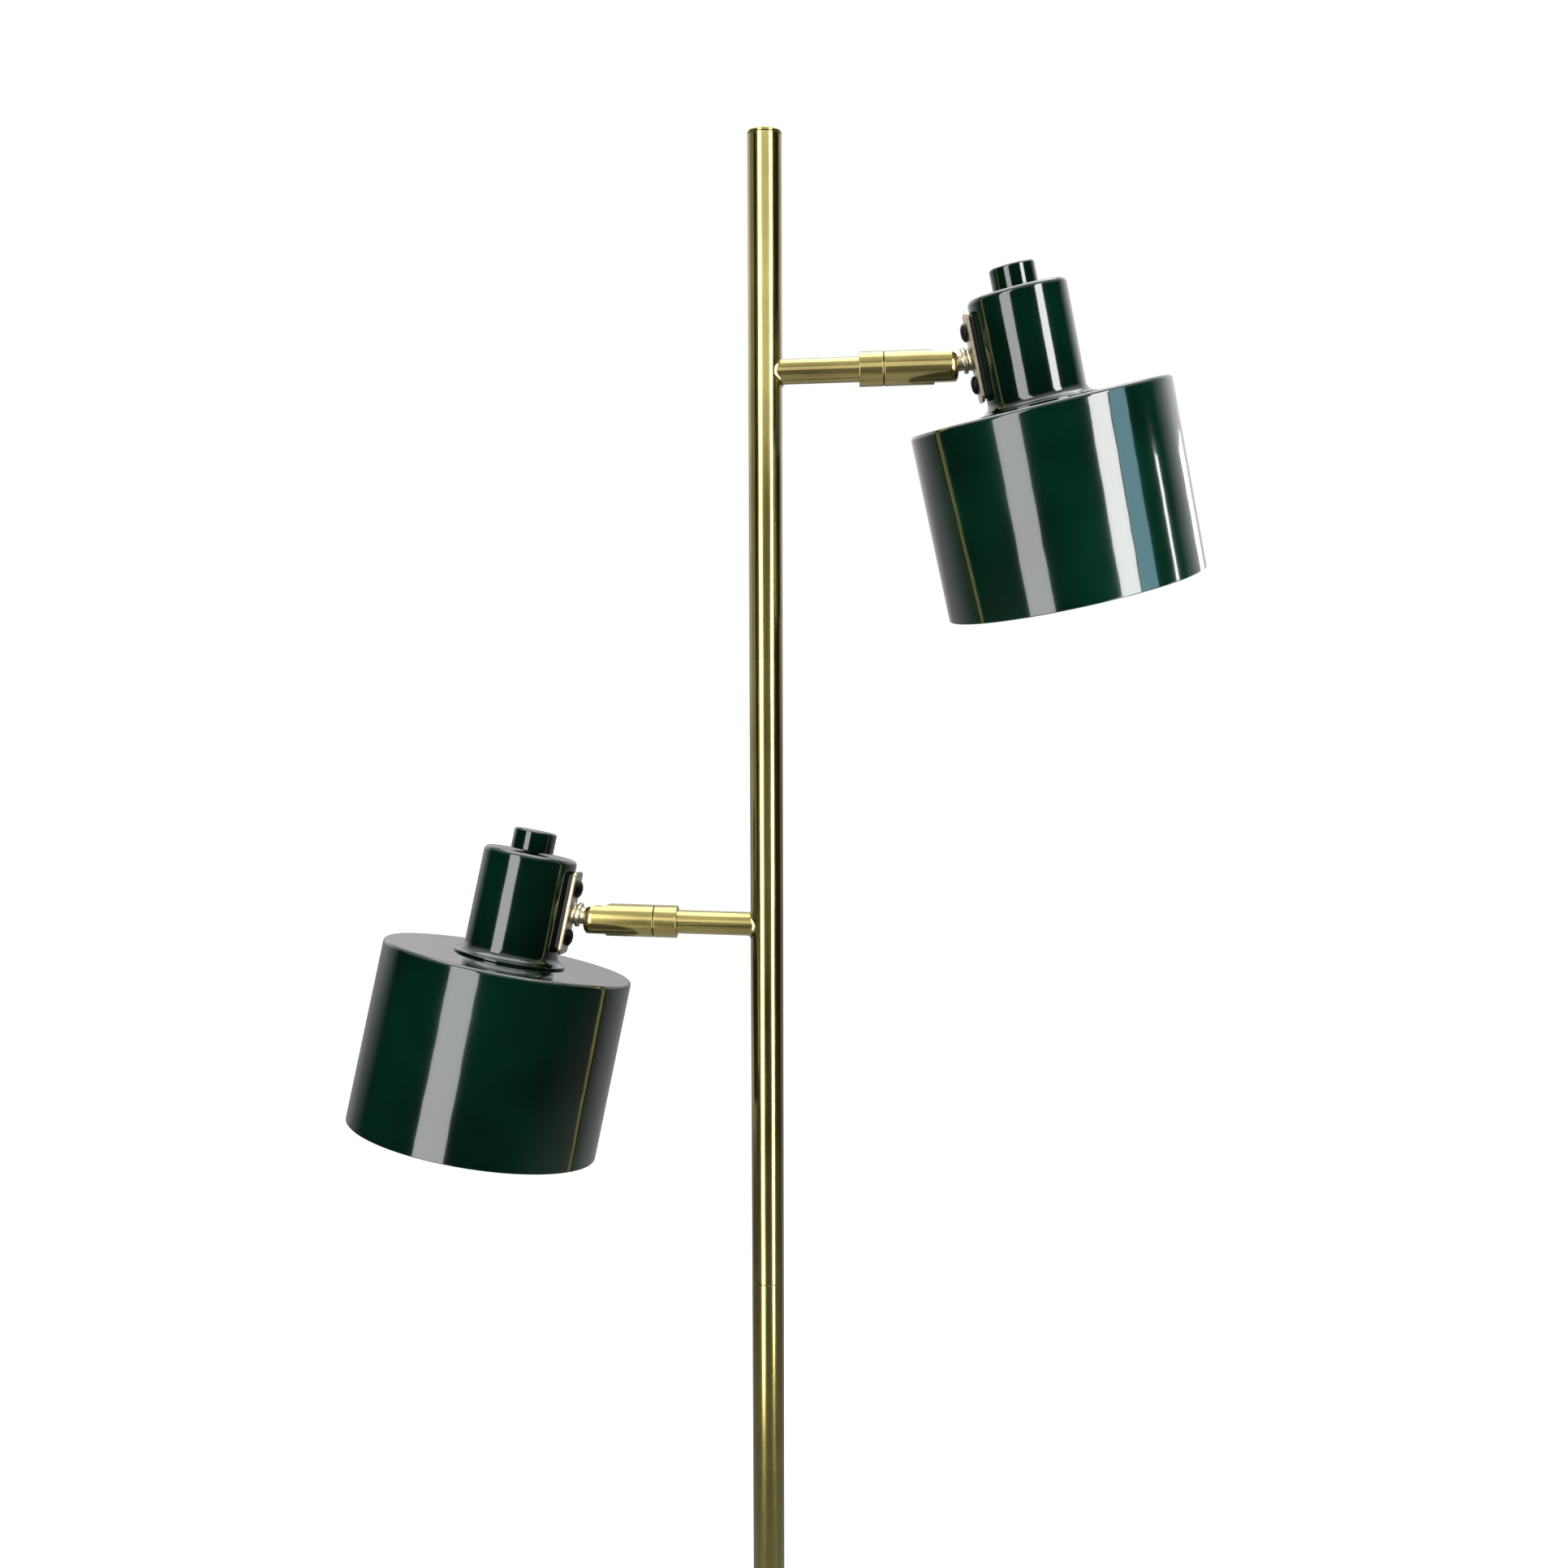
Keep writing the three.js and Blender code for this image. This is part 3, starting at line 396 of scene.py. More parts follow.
# %% [markdown]
# ## Setting a piece in its place
# Each group of pieces is modelled in millimetres in the simplest frame: the pole's
# axis, an arm's axis, or a ball's centre. Those frames come from the joints of the
# loaded model. Fitting a piece moves its mesh there, in metres, and smooths it where
# neighbouring faces meet at a shallow angle. Plain smoothing would bend the light
# over a whole long wall towards the small rounding at its end, so the large faces are
# given more weight, and the rounding alone takes the turn. The piece then rides on its
# body and stands for the faceted node that it replaces.

# %% Fitting
SMOOTH_BELOW = math.radians(32)


def fit(piece, place, body, node, finish):
    piece.data.transform(place @ Matrix.Scale(MM, 4))
    shape = bmesh.new()
    shape.from_mesh(piece.data)
    for face in shape.faces:
        face.smooth = True
    for edge in shape.edges:
        edge.smooth = len(edge.link_faces) == 2 and edge.calc_face_angle(0) < SMOOTH_BELOW
    shape.to_mesh(piece.data)
    shape.free()
    even = piece.modifiers.new("even_shading", "WEIGHTED_NORMAL")
    even.mode, even.keep_sharp = "FACE_AREA", True
    piece.data.materials.clear()
    piece.data.materials.append(finish)
    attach(piece, body)
    if node:
        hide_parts(node)
    return piece


joints = {joint["name"]: joint for joint in frame["joints"]}


def frame_at(origin, along, upright):
    """A frame at a point, with X along one direction and Z close to another."""
    x = Vector(along).normalized()
    y = Vector(upright).cross(x).normalized()
    turn = Matrix((x, y, x.cross(y))).transposed()
    return Matrix.Translation(origin) @ turn.to_4x4()


def places(side):
    """The frames of one arm, its barrel and its head."""
    swivel, tilt = joints[f"{side}_swivel"], joints[f"{side}_tilt"]
    along = Vector(swivel["axis"])
    root = Vector(swivel["pos_m"]) - along * (swivel["pos_m"][0] / along.x)
    arm = frame_at(root, along, (0, 0, 1))
    barrel = frame_at(root, along, along.cross(-Vector(tilt["axis"])))
    head = frame_at(tilt["pos_m"], joints[f"{side}_spin"]["axis"],
                    joints[f"{side}_switch_turn"]["axis"])
    return arm, barrel, head


SIDES = ("upper", "lower")
for side in SIDES:
    print(side, "arm leaves the pole at", round(places(side)[0].translation.z, 4), "m")

# %% [markdown]
# ## Pole
# Three lengths of 16 mm tube stand on each other, held by couplers inside. Where two
# meet, each has a tiny rounded edge, so the joint reads as a hairline. The top
# is closed by a turned plug with a small rounding. The tubes run as real pipes,
# since their thin walls can be seen at an open end while a lamp is taken apart.

# %% Pole pieces
POLE_RADIUS, POLE_BORE, POLE_EDGE = 8.0, 6.8, 0.2
ARM_HOLE, PAST_WALL = 6.1, 16


def heights(node):
    low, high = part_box(node)
    return low.z / MM, high.z / MM


for node in ("pole_lower", "pole_middle", "pole_upper"):
    foot, top = heights(node)
    outline = rounded([(POLE_BORE, foot, 0), (POLE_RADIUS, foot, POLE_EDGE),
                       (POLE_RADIUS, top, POLE_EDGE), (POLE_BORE, top, 0)],
                      closed=True, steps=3)
    tube = piece_of(node + "_tube", lathe(outline, 128))
    if node == "pole_upper":
        holes = []
        for side in SIDES:
            hole = drill(ARM_HOLE, 0, PAST_WALL)
            hole.data.transform(Matrix.Scale(1 / MM, 4) @ places(side)[0]
                                @ Matrix.Scale(MM, 4))
            holes.append(hole)
        machine(tube, holes)
    fit(tube, Matrix(), "stand", node, BRASS_POLE)

foot, top = heights("pole_cap")
CAP_THICKNESS, PLUG_RADIUS = 1.6, 6.5
cap = rounded([(0, foot, 0), (PLUG_RADIUS, foot, 0.4),
               (PLUG_RADIUS, top - CAP_THICKNESS, 0),
               (POLE_RADIUS, top - CAP_THICKNESS, 0.15), (POLE_RADIUS, top, 1.2),
               (0, top, 0)], closed=False, steps=8)
fit(piece_of("pole_end_plug", lathe(cap, 128)), Matrix(), "stand", "pole_cap",
    BRASS_POLE)
print("pole top at", round(top, 1), "mm")

# %% [markdown]
# ## Arm, brazed fillet and collar
# Each arm is an 11.6 mm tube brazed into a hole in the pole. Molten braze draws into
# a small concave fillet all round the joint. It could be faked with a bevel, but
# two crossed tubes have no shared edge, so it is swept instead: at each angle
# round the arm, a short curve runs from the arm out to the curved face of the pole.
# A thin black washer sits between the collar and the turning barrel. Its black is
# painted shade: it draws the seam between them as a dark line.

# %% Arm pieces
ARM_RADIUS, ARM_WALL, ARM_ROOT, ARM_LENGTH, SOCKET = 5.8, 1.0, 6.4, 43.9, 6.0
FILLET, BITE, TUCK = 1.6, 0.4, 0.3
GAP, EDGE_RADIUS = 0.3, 0.4
SEAM_SHADOW_PLAY = 0.04
JOINT_RADIUS = 8.0
COLLAR_LENGTH, BARREL_TO_BALL, PARTITION, SWIVEL_NUT = 11.3, 26.2, 3.6, 2.6
COLLAR_END = ARM_LENGTH + COLLAR_LENGTH
BARREL_START = COLLAR_END + GAP
BALL_REACH = BARREL_START + BARREL_TO_BALL
SPIGOT_RADIUS, LEAD_BORE = 4.5, 3.5
SPIGOT_END = BARREL_START + PARTITION + GAP + SWIVEL_NUT + GAP


def brazed_fillet(name, around=128, across=10):
    """A ring of braze in the arm's own frame, with the pole standing on the origin.

    Its hidden side bites into the pole's wall and is tucked under the arm's."""
    shape = bmesh.new()
    rings = []
    for i in range(around):
        angle = math.tau * i / around
        out = Vector((0, math.cos(angle), math.sin(angle)))

        def skin(radius):
            return math.sqrt(max(POLE_RADIUS ** 2 - (radius * out.y) ** 2, 0.01))

        start = Vector((skin(ARM_RADIUS) + FILLET, ARM_RADIUS))
        corner = Vector((skin(ARM_RADIUS), ARM_RADIUS))
        stop = Vector((skin(ARM_RADIUS + FILLET), ARM_RADIUS + FILLET))
        curve = []
        for k in range(across + 1):
            t = k / across
            curve.append(start * (1 - t) ** 2 + corner * 2 * t * (1 - t) + stop * t * t)
        curve.append(Vector((stop.x - BITE, stop.y - BITE / 2)))
        curve.append(Vector((corner.x - BITE, ARM_RADIUS - TUCK)))
        curve.append(Vector((start.x, ARM_RADIUS - TUCK)))
        rings.append([shape.verts.new(Vector((p.x, 0, 0)) + out * p.y) for p in curve])
    for i, ring in enumerate(rings):
        after = rings[(i + 1) % around]
        for k in range(len(ring)):
            j = (k + 1) % len(ring)
            shape.faces.new((ring[k], ring[j], after[j], after[k]))
    bmesh.ops.recalc_face_normals(shape, faces=shape.faces)
    return piece_of(name, shape)


for side in SIDES:
    arm = places(side)[0]
    tube = rounded([(ARM_RADIUS - ARM_WALL, ARM_ROOT, 0), (ARM_RADIUS, ARM_ROOT, 0),
                    (ARM_RADIUS, ARM_LENGTH + SOCKET, 0.2),
                    (ARM_RADIUS - ARM_WALL, ARM_LENGTH + SOCKET, 0)], closed=True)
    fit(piece_of(f"{side}_arm", lathe(tube), "X"), arm, "stand", f"{side}_arm_tube",
        BRASS_ARM)
    fit(brazed_fillet(f"{side}_arm_fillet"), arm, "stand", None, BRASS_ARM)
    socket, socket_end = ARM_RADIUS + GAP, ARM_LENGTH + SOCKET + GAP
    collar = rounded([
        (socket, ARM_LENGTH, 0.15), (JOINT_RADIUS, ARM_LENGTH, EDGE_RADIUS),
        (JOINT_RADIUS, COLLAR_END, EDGE_RADIUS), (SPIGOT_RADIUS, COLLAR_END, 0),
        (SPIGOT_RADIUS, SPIGOT_END, 0.2), (LEAD_BORE, SPIGOT_END, 0),
        (LEAD_BORE, socket_end, 0), (socket, socket_end, 0)], closed=True)
    fit(piece_of(f"{side}_swivel_collar", lathe(collar), "X"), arm, "stand",
        f"{side}_arm_collar", BRASS_ARM)
    # The seam washer's black is painted shade, drawn as a dark line in the gap.
    near, far = COLLAR_END + SEAM_SHADOW_PLAY, BARREL_START - SEAM_SHADOW_PLAY
    bore, rim = SPIGOT_RADIUS + 0.1, JOINT_RADIUS - 0.25
    seam_shadow_ring = [(bore, near), (rim, near), (rim, far), (bore, far)]
    fit(piece_of(f"{side}_seam_washer", lathe(seam_shadow_ring), "X"), arm, "stand", None,
        BLACK_STEEL)
print("arms, collars and washers made")

# %% [markdown]
# ## Slotted joint barrel
# The barrel was turned with a domed nose and then milled: two flats for a wrench,
# and a slot from the nose's top, through which the stem can rise. The same order
# is kept here. The turned blank is made first and the mill's cuts come second,
# so the flats run out in the true curved edges.

# %% Barrel pieces
NOSE_LENGTH = 8.1
NOSE_END = BALL_REACH + NOSE_LENGTH
SEAT_RADIUS = 6.1
FLAT_HEIGHT = SEAT_RADIUS + 0.8
STEM_ROOM = 4.6
DOME_LENGTH, DOME_DROP = 4.6, 3.2
FLAT_START = 3.0
CUTTER = 12.0
PARTITION_END = BARREL_START + PARTITION


def arc(centre, radius, start, stop, steps=12):
    """Points (radius, height) on an arc about a point on the axis, in degrees from it."""
    found = []
    for k in range(steps + 1):
        angle = math.radians(start + (stop - start) * k / steps)
        found.append((radius * math.sin(angle), centre + radius * math.cos(angle)))
    return found


def barrel(name):
    seat_from = math.degrees(math.asin(STEM_ROOM / SEAT_RADIUS))
    dome = [(JOINT_RADIUS - DOME_DROP * (1 - math.cos(math.radians(a))),
             NOSE_END - DOME_LENGTH * (1 - math.sin(math.radians(a))))
            for a in range(0, 91, 6)]
    outside = rounded([
        (SPIGOT_RADIUS + GAP, BARREL_START, 0), (JOINT_RADIUS, BARREL_START, EDGE_RADIUS),
        dome[0] + (0,)], closed=False) + dome[1:] + [(STEM_ROOM, NOSE_END)]
    seat = arc(BALL_REACH, SEAT_RADIUS, seat_from, 90)
    inside = [(SEAT_RADIUS, PARTITION_END), (SPIGOT_RADIUS + GAP, PARTITION_END)]
    body = piece_of(name, lathe(outside + seat + inside, 128), "X")
    start, reach = BALL_REACH - FLAT_START, NOSE_END + 1
    flats = [block((start, -CUTTER, -CUTTER), (reach, CUTTER, -FLAT_HEIGHT)),
             block((start, -CUTTER, FLAT_HEIGHT), (reach, CUTTER, CUTTER))]
    slot = block((BALL_REACH, -STEM_ROOM, 0), (reach, STEM_ROOM, CUTTER))
    slot_end = drill(STEM_ROOM, 0, CUTTER, "Z", (BALL_REACH, 0, 0), 64)
    return machine(body, [*flats, slot, slot_end])


for side in SIDES:
    fit(barrel(f"{side}_joint_body"), places(side)[1], f"{side}_barrel",
        f"{side}_joint_barrel", BRASS_ARM)
print("barrels made")

# %% [markdown]
# ## Ball, stem and mounting plate
# The ball and its stem are one turned piece with a shoulder ring. In front of the
# ring, a concave boss spreads onto a rounded plate, which two black cross-head
# screws hold against the neck, with a thin black pad between. The pad's black is
# painted shade: it stands for the shadow in the gap between the plate and the neck.
# The screw heads are turned domes with a tapered cross pressed into them.

# %% Joint and plate pieces
BALL_RADIUS, STEM_RADIUS, BORE_RADIUS, STUB_RADIUS = 5.8, 4.2, 1.8, 3.0
RING_START, RING_END, RING_RADIUS = 10.3, 12.1, 6.0
BOSS_START, BOSS_FOOT = 12.4, 8.2
PLATE_FACE, PLATE_BACK = 14.9, 16.3
PLATE_SIZE, PLATE_CORNER, PLATE_EDGE = (41, 19), 3, 0.35
PAD_SIZE, PAD_CORNER, PAD_EDGE = (38, 15), 2, 0.15
SCREW_BORE, SCREW_CROWN, SCREW_LENGTH = 2.1, 2.6, 7.4
CROSS_MOUTH, CROSS_FLOOR, CROSS_DEPTH = (2.6, 0.5), (1.2, 0.3), 1.5
NECK_RADIUS, NECK_WALL = 23.0, 1.2
HEAD_REACH = 40.6
PAD_END = HEAD_REACH - 11.5
STUB_END = 23.4
SCREW_SPACING = 12.0


def rounded_slab(name, size, corner, start, stop, edge):
    """A plate that stands in YZ, with round corners and softened edges."""
    height, width = size
    shape = bmesh.new()
    ring = []
    for quarter in range(4):
        cy = (width / 2 - corner) * (1 if quarter in (0, 3) else -1)
        cz = (height / 2 - corner) * (1 if quarter in (0, 1) else -1)
        for k in range(9):
            angle = math.radians(90 * quarter + 90 * k / 8)
            ring.append(shape.verts.new((start, cy + corner * math.cos(angle),
                                         cz + corner * math.sin(angle))))
    face = shape.faces.new(ring)
    made = bmesh.ops.extrude_face_region(shape, geom=[face])
    moved = [v for v in made["geom"] if isinstance(v, bmesh.types.BMVert)]
    bmesh.ops.translate(shape, verts=moved, vec=(stop - start, 0, 0))
    bmesh.ops.recalc_face_normals(shape, faces=shape.faces)
    rim = [e for e in shape.edges if e.calc_face_angle(0) > math.radians(60)]
    bmesh.ops.bevel(shape, geom=rim, offset=edge, segments=3, affect="EDGES",
                    clamp_overlap=True)
    return piece_of(name, shape)


def ball_and_stem(name):
    rear = math.degrees(math.asin(BORE_RADIUS / BALL_RADIUS))
    front = math.degrees(math.asin(STEM_RADIUS / BALL_RADIUS))
    sphere = arc(0, BALL_RADIUS, 180 - rear, front, 24)
    rest = rounded([
        (STEM_RADIUS - 0.05, 6.5, 0), (STEM_RADIUS, RING_START, 0.3),
        (RING_RADIUS, RING_START, 0.35), (RING_RADIUS, RING_END, 0.35),
        (STUB_RADIUS, RING_END, 0), (STUB_RADIUS, STUB_END, 0.2),
        (BORE_RADIUS, STUB_END, 0)], closed=False)
    return piece_of(name, lathe(sphere + rest), "X")


def mounting_plate(name):
    plate = rounded_slab(name, PLATE_SIZE, PLATE_CORNER, PLATE_FACE, PLATE_BACK, PLATE_EDGE)
    waist = RING_RADIUS - 1.1
    flare = [(waist + (BOSS_FOOT - waist) * (1 - math.cos(math.radians(90 * k / 12))),
              BOSS_START + 0.4 + (PLATE_FACE - BOSS_START - 0.4)
              * math.sin(math.radians(90 * k / 12))) for k in range(13)]
    boss = [(0, BOSS_START), (waist - 0.2, BOSS_START), (waist, BOSS_START + 0.2),
            *flare, (BOSS_FOOT, PLATE_FACE + 0.7), (0, PLATE_FACE + 0.7)]
    machine(plate, [piece_of("boss", lathe(boss), "X")], "UNION")
    return machine(plate, [drill(STUB_RADIUS + GAP, 0, 30), *screw_drills()])


def screw_drills():
    return [drill(SCREW_BORE, 0, 30, shift=(0, 0, s * SCREW_SPACING)) for s in (-1, 1)]


# The pad is black as painted shade for the dark gap between the plate and the neck.
def pad_behind_plate(name):
    pad = rounded_slab(name, PAD_SIZE, PAD_CORNER, PLATE_BACK + GAP, PAD_END, PAD_EDGE)
    neck = drill(NECK_RADIUS + GAP, -30, 30, "Z", (HEAD_REACH, 0, 0), 192)
    return machine(pad, [neck, drill(STUB_RADIUS + GAP, 0, 30), *screw_drills()])


def cross_head_screw(name, above):
    """A pan-head screw with a tapered cross recess. Its crown faces -X."""
    under = PLATE_FACE - GAP
    crown = under - SCREW_CROWN
    outline = rounded([(0, crown, 0), (2.2, crown + 0.12, 1.5), (4.05, crown + 1.1, 1.2),
                       (4.3, under, 0.15), (1.8, under, 0),
                       (1.8, under + SCREW_LENGTH, 0.4), (0, under + SCREW_LENGTH, 0)],
                      closed=False)
    screw = piece_of(name, lathe(outline, 64), "X")
    cross = []
    for sideways in (False, True):
        shape = bmesh.new()
        bmesh.ops.create_cube(shape, size=1.0)
        for vert in shape.verts:
            deep = vert.co.x > 0
            long, thin = CROSS_FLOOR if deep else CROSS_MOUTH
            y, z = math.copysign(long, vert.co.y), math.copysign(thin, vert.co.z)
            vert.co = (crown + (CROSS_DEPTH if deep else -0.6), z if sideways else y,
                       y if sideways else z)
        bmesh.ops.recalc_face_normals(shape, faces=shape.faces)
        cross.append(piece_of("cross", shape))
    machine(screw, cross)
    screw.data.transform(Matrix.Translation((0, 0, above)))
    return screw


for side in SIDES:
    head = places(side)[2]
    body = f"{side}_head"
    fit(ball_and_stem(f"{side}_ball_and_stem"), head, f"{side}_ball",
        f"{side}_joint_ball", NICKEL_PLATE)
    fit(mounting_plate(f"{side}_plate"), head, body, f"{side}_mount_plate",
        NICKEL_PLATE)
    # The pad's black finish is painted shade in the gap behind the plate.
    fit(pad_behind_plate(f"{side}_pad"), head, body, f"{side}_plate_pad",
        PHENOLIC)
    for end, above in (("top", SCREW_SPACING), ("bottom", -SCREW_SPACING)):
        fit(cross_head_screw(f"{side}_screw_{end}", above), head, body,
            f"{side}_plate_screw_{end}", BLACK_STEEL)
print("joints and plates made")

# %% [markdown]
# ## Neck, drum and knob
# Neck and drum are spun from sheet, so every edge is a bend with a radius of about
# 2 mm, and the neck's foot spreads in a hollow curve to a thin lip on the drum.
# The drum's inside is sprayed white to throw light downwards, so its faces
# take a second material. The knob is a plain turned cap over the switch shaft.

# %% Shade pieces
DRUM_RADIUS, DRUM_HEIGHT, DRUM_WALL, DRUM_ROUNDING = 61.0, 89.0, 1.2, 2.0
DRUM_TOP = -28.0
DRUM_MOUTH = DRUM_TOP - DRUM_HEIGHT
NECK_TOP, NECK_FOOT = 25.3, DRUM_TOP + GAP
FOOT_RADIUS, FOOT_LIP, NECK_ROUNDING = 27.5, 1.0, 2.5
HOLE_RADIUS, SHAFT_HOLE = 20.7, 3.9
KNOB_RADIUS, KNOB_BORE, KNOB_HEIGHT, KNOB_GAP = 10.5, 8.4, 10.2, 0.8
SHAFT_RADIUS, SHAFT_FOOT, KNOB_ROOF = 1.5, 27.5, 31.2


def shade_neck(name):
    hollow = FOOT_RADIUS - NECK_RADIUS
    flare = [(FOOT_RADIUS + hollow * math.cos(math.radians(a)),
              NECK_FOOT + FOOT_LIP + hollow + hollow * math.sin(math.radians(a)))
             for a in range(264, 179, -7)]
    top = rounded([(NECK_RADIUS, 0, 0), (NECK_RADIUS, NECK_TOP, NECK_ROUNDING),
                   (SHAFT_HOLE, NECK_TOP, 0), (SHAFT_HOLE, NECK_TOP - NECK_WALL, 0),
                   (NECK_RADIUS - NECK_WALL, NECK_TOP - NECK_WALL,
                    NECK_ROUNDING - NECK_WALL),
                   (NECK_RADIUS - NECK_WALL, NECK_FOOT, 0)], closed=False, steps=8)
    foot = [(FOOT_RADIUS - 0.1, NECK_FOOT), (FOOT_RADIUS, NECK_FOOT + 0.15),
            (FOOT_RADIUS, NECK_FOOT + FOOT_LIP - 0.3)]
    neck = piece_of(name, lathe(foot + flare + top, 192), shift=(HEAD_REACH, 0, 0))
    return machine(neck, [drill(STUB_RADIUS + GAP, 0, 30), *screw_drills()])


def shade_drum(name):
    outline = rounded([
        (DRUM_RADIUS - DRUM_WALL, DRUM_MOUTH, 0.4), (DRUM_RADIUS, DRUM_MOUTH, 0.5),
        (DRUM_RADIUS, DRUM_TOP, DRUM_ROUNDING), (HOLE_RADIUS, DRUM_TOP, 0),
        (HOLE_RADIUS, DRUM_TOP - DRUM_WALL, 0),
        (DRUM_RADIUS - DRUM_WALL, DRUM_TOP - DRUM_WALL, DRUM_ROUNDING - DRUM_WALL)],
        closed=True, steps=8)
    return piece_of(name, lathe(outline, 256), shift=(HEAD_REACH, 0, 0))


def inner_faces(piece):
    """Tells which of the drum's faces are inside it, up to the middle of its wall."""
    middle = DRUM_RADIUS - DRUM_WALL / 2
    inner = []
    for face in piece.data.polygons:
        x, y, z = face.center
        radius = math.hypot(x - HEAD_REACH, y)
        inner.append(radius < middle and z < DRUM_TOP - DRUM_WALL / 2)
    return inner


def switch_knob(name):
    foot = NECK_TOP + KNOB_GAP
    top = foot + KNOB_HEIGHT
    outline = rounded([
        (0, SHAFT_FOOT, 0), (SHAFT_RADIUS, SHAFT_FOOT, 0.2), (SHAFT_RADIUS, KNOB_ROOF, 0),
        (KNOB_BORE, KNOB_ROOF, 0), (KNOB_BORE, foot, 0.2), (KNOB_RADIUS, foot, 0.35),
        (KNOB_RADIUS, top, 1.2), (0, top, 0)], closed=False, steps=8)
    return piece_of(name, lathe(outline, 128), shift=(HEAD_REACH, 0, 0))


for side in SIDES:
    head = places(side)[2]
    body = f"{side}_head"
    fit(shade_neck(f"{side}_neck"), head, body, f"{side}_shade_neck",
        GREEN_LACQUER)
    drum = shade_drum(f"{side}_drum")
    inner = inner_faces(drum)
    fit(drum, head, body, f"{side}_shade_drum", GREEN_LACQUER)
    drum.data.materials.append(WHITE_ENAMEL)
    for face, inside in zip(drum.data.polygons, inner):
        face.material_index = int(inside)
    fit(switch_knob(f"{side}_knob_cap"), head, f"{side}_knob", f"{side}_switch_knob",
        GREEN_LACQUER)
print("shades made")

# %% [markdown]
# ## Lamp holder, ring and bulb
# Seen from below, each shade shows its lamp holder, the ring that clamps the drum to
# it, and a small opal globe. The ring has grip ribs, which are made by pushing
# its rim in and out with a cosine. Opal glass scatters light inside its thickness,
# so it looks softly white and not clear. The bulb's cap has rolled threads.

# %% Holder and bulb pieces
RING_TOP = DRUM_TOP - DRUM_WALL - GAP
RING_FOOT = RING_TOP - 5.5
HOLDER_TOP, HOLDER_MOUTH = -7.3 - GAP, DRUM_TOP - 26
HOLDER_BORE, HOLDER_BODY, HOLDER_THREAD, HOLDER_FLANGE = 14.2, 18.5, 20.3, 21.4
SHOULDER_RADIUS, NIPPLE_RADIUS, NIPPLE_TOP = 17.5, 4.9, -4.8
CAP_FOOT = HOLDER_MOUTH + 4
CAP_TOP = CAP_FOOT + 25
BULB_RADIUS, BULB_WALL, BULB_CENTRE = 22.5, 1.0, CAP_FOOT - 32


def lamp_holder(name):
    floor, thread_foot, flange_top = CAP_TOP + GAP, RING_FOOT - 1, NECK_FOOT + 3.4
    outline = rounded([
        (0, floor, 0), (HOLDER_BORE, floor, 0.5), (HOLDER_BORE, HOLDER_MOUTH, 0.3),
        (HOLDER_BODY, HOLDER_MOUTH, 0.6), (HOLDER_BODY, thread_foot, 0),
        (HOLDER_THREAD, thread_foot, 0.3), (HOLDER_THREAD, NECK_FOOT, 0),
        (HOLDER_FLANGE, NECK_FOOT, 0), (HOLDER_FLANGE, flange_top, 0.4),
        (SHOULDER_RADIUS, flange_top, 0.4), (SHOULDER_RADIUS, HOLDER_TOP - 3, 1.0),
        (15, HOLDER_TOP, 0.6), (NIPPLE_RADIUS, HOLDER_TOP, 0),
        (NIPPLE_RADIUS, NIPPLE_TOP, 0.4), (0, NIPPLE_TOP, 0)], closed=False)
    return piece_of(name, lathe(outline, 128), shift=(HEAD_REACH, 0, 0))


def ribbed_ring(name, ribs=36):
    bore, rim, groove = HOLDER_THREAD + GAP, 26, 0.35
    outline = rounded([(bore, RING_FOOT, 0.3), (rim, RING_FOOT, 0.6), (rim, RING_TOP, 0.6),
                       (bore, RING_TOP, 0.3)], closed=True)
    shape = lathe(outline, ribs * 8)
    for vert in shape.verts:
        reach = math.hypot(vert.co.x, vert.co.y)
        if reach > rim - 1.5:
            angle = math.atan2(vert.co.y, vert.co.x)
            scale = 1 - groove * (1 - math.cos(ribs * angle)) / 2 / reach
            vert.co.x *= scale
            vert.co.y *= scale
    return piece_of(name, shape, shift=(HEAD_REACH, 0, 0))


def bulb_globe(name):
    neck_angle = 52

    def shell(radius, throat):
        globe = [(radius * math.cos(math.radians(a)),
                  BULB_CENTRE + radius * math.sin(math.radians(a)))
                 for a in range(-90, neck_angle + 1, 5)]
        globe[0] = (0, BULB_CENTRE - radius)
        last = Vector(globe[-1])
        end = Vector((throat, CAP_FOOT - GAP))
        return globe + [tuple(last.lerp(end, t)) for t in (0.35, 0.7, 1.0)]

    outside = shell(BULB_RADIUS, 12.4)
    inside = shell(BULB_RADIUS - BULB_WALL, 11.4)
    return piece_of(name, lathe(outside + inside[::-1], 96), shift=(HEAD_REACH, 0, 0))


def threaded_cap(name):
    rolls = [(13.2 - 0.35 * (1 - math.cos(math.tau * k / 8)), CAP_FOOT + 3 + 3.6 * k / 8)
             for k in range(33)]
    outline = [(0, CAP_FOOT), (13.1, CAP_FOOT), *rolls, (12.8, CAP_TOP - 5),
               (9.2, CAP_TOP - 2), (5, CAP_TOP), (0, CAP_TOP)]
    return piece_of(name, lathe(outline, 96), shift=(HEAD_REACH, 0, 0))


for side in SIDES:
    head = places(side)[2]
    body = f"{side}_head"
    for piece, node, finish, slot in (
            (lamp_holder(f"{side}_holder"), "lamp_holder", PHENOLIC, "black_plastic"),
            (ribbed_ring(f"{side}_clamp_ring"), "holder_ring", PHENOLIC, "black_plastic"),
            (bulb_globe(f"{side}_globe"), "bulb_glass", OPAL_GLASS, "opal_glass"),
            (threaded_cap(f"{side}_threaded_cap"), "bulb_cap", CAP_METAL, "cap_metal")):
        fit(piece, head, body, f"{side}_{node}", finish)
print("holders and bulbs made")

# %% [markdown]
# ## Base
# The base is a lacquered steel cover over a cast-iron disc, on a felt pad. Its top
# falls slightly to a round shoulder, and a turned brass collar with a hollow curve
# closes the pole's foot. The rim has one hole, at the back, for a gland. It is
# left open, because this lamp has no cord.

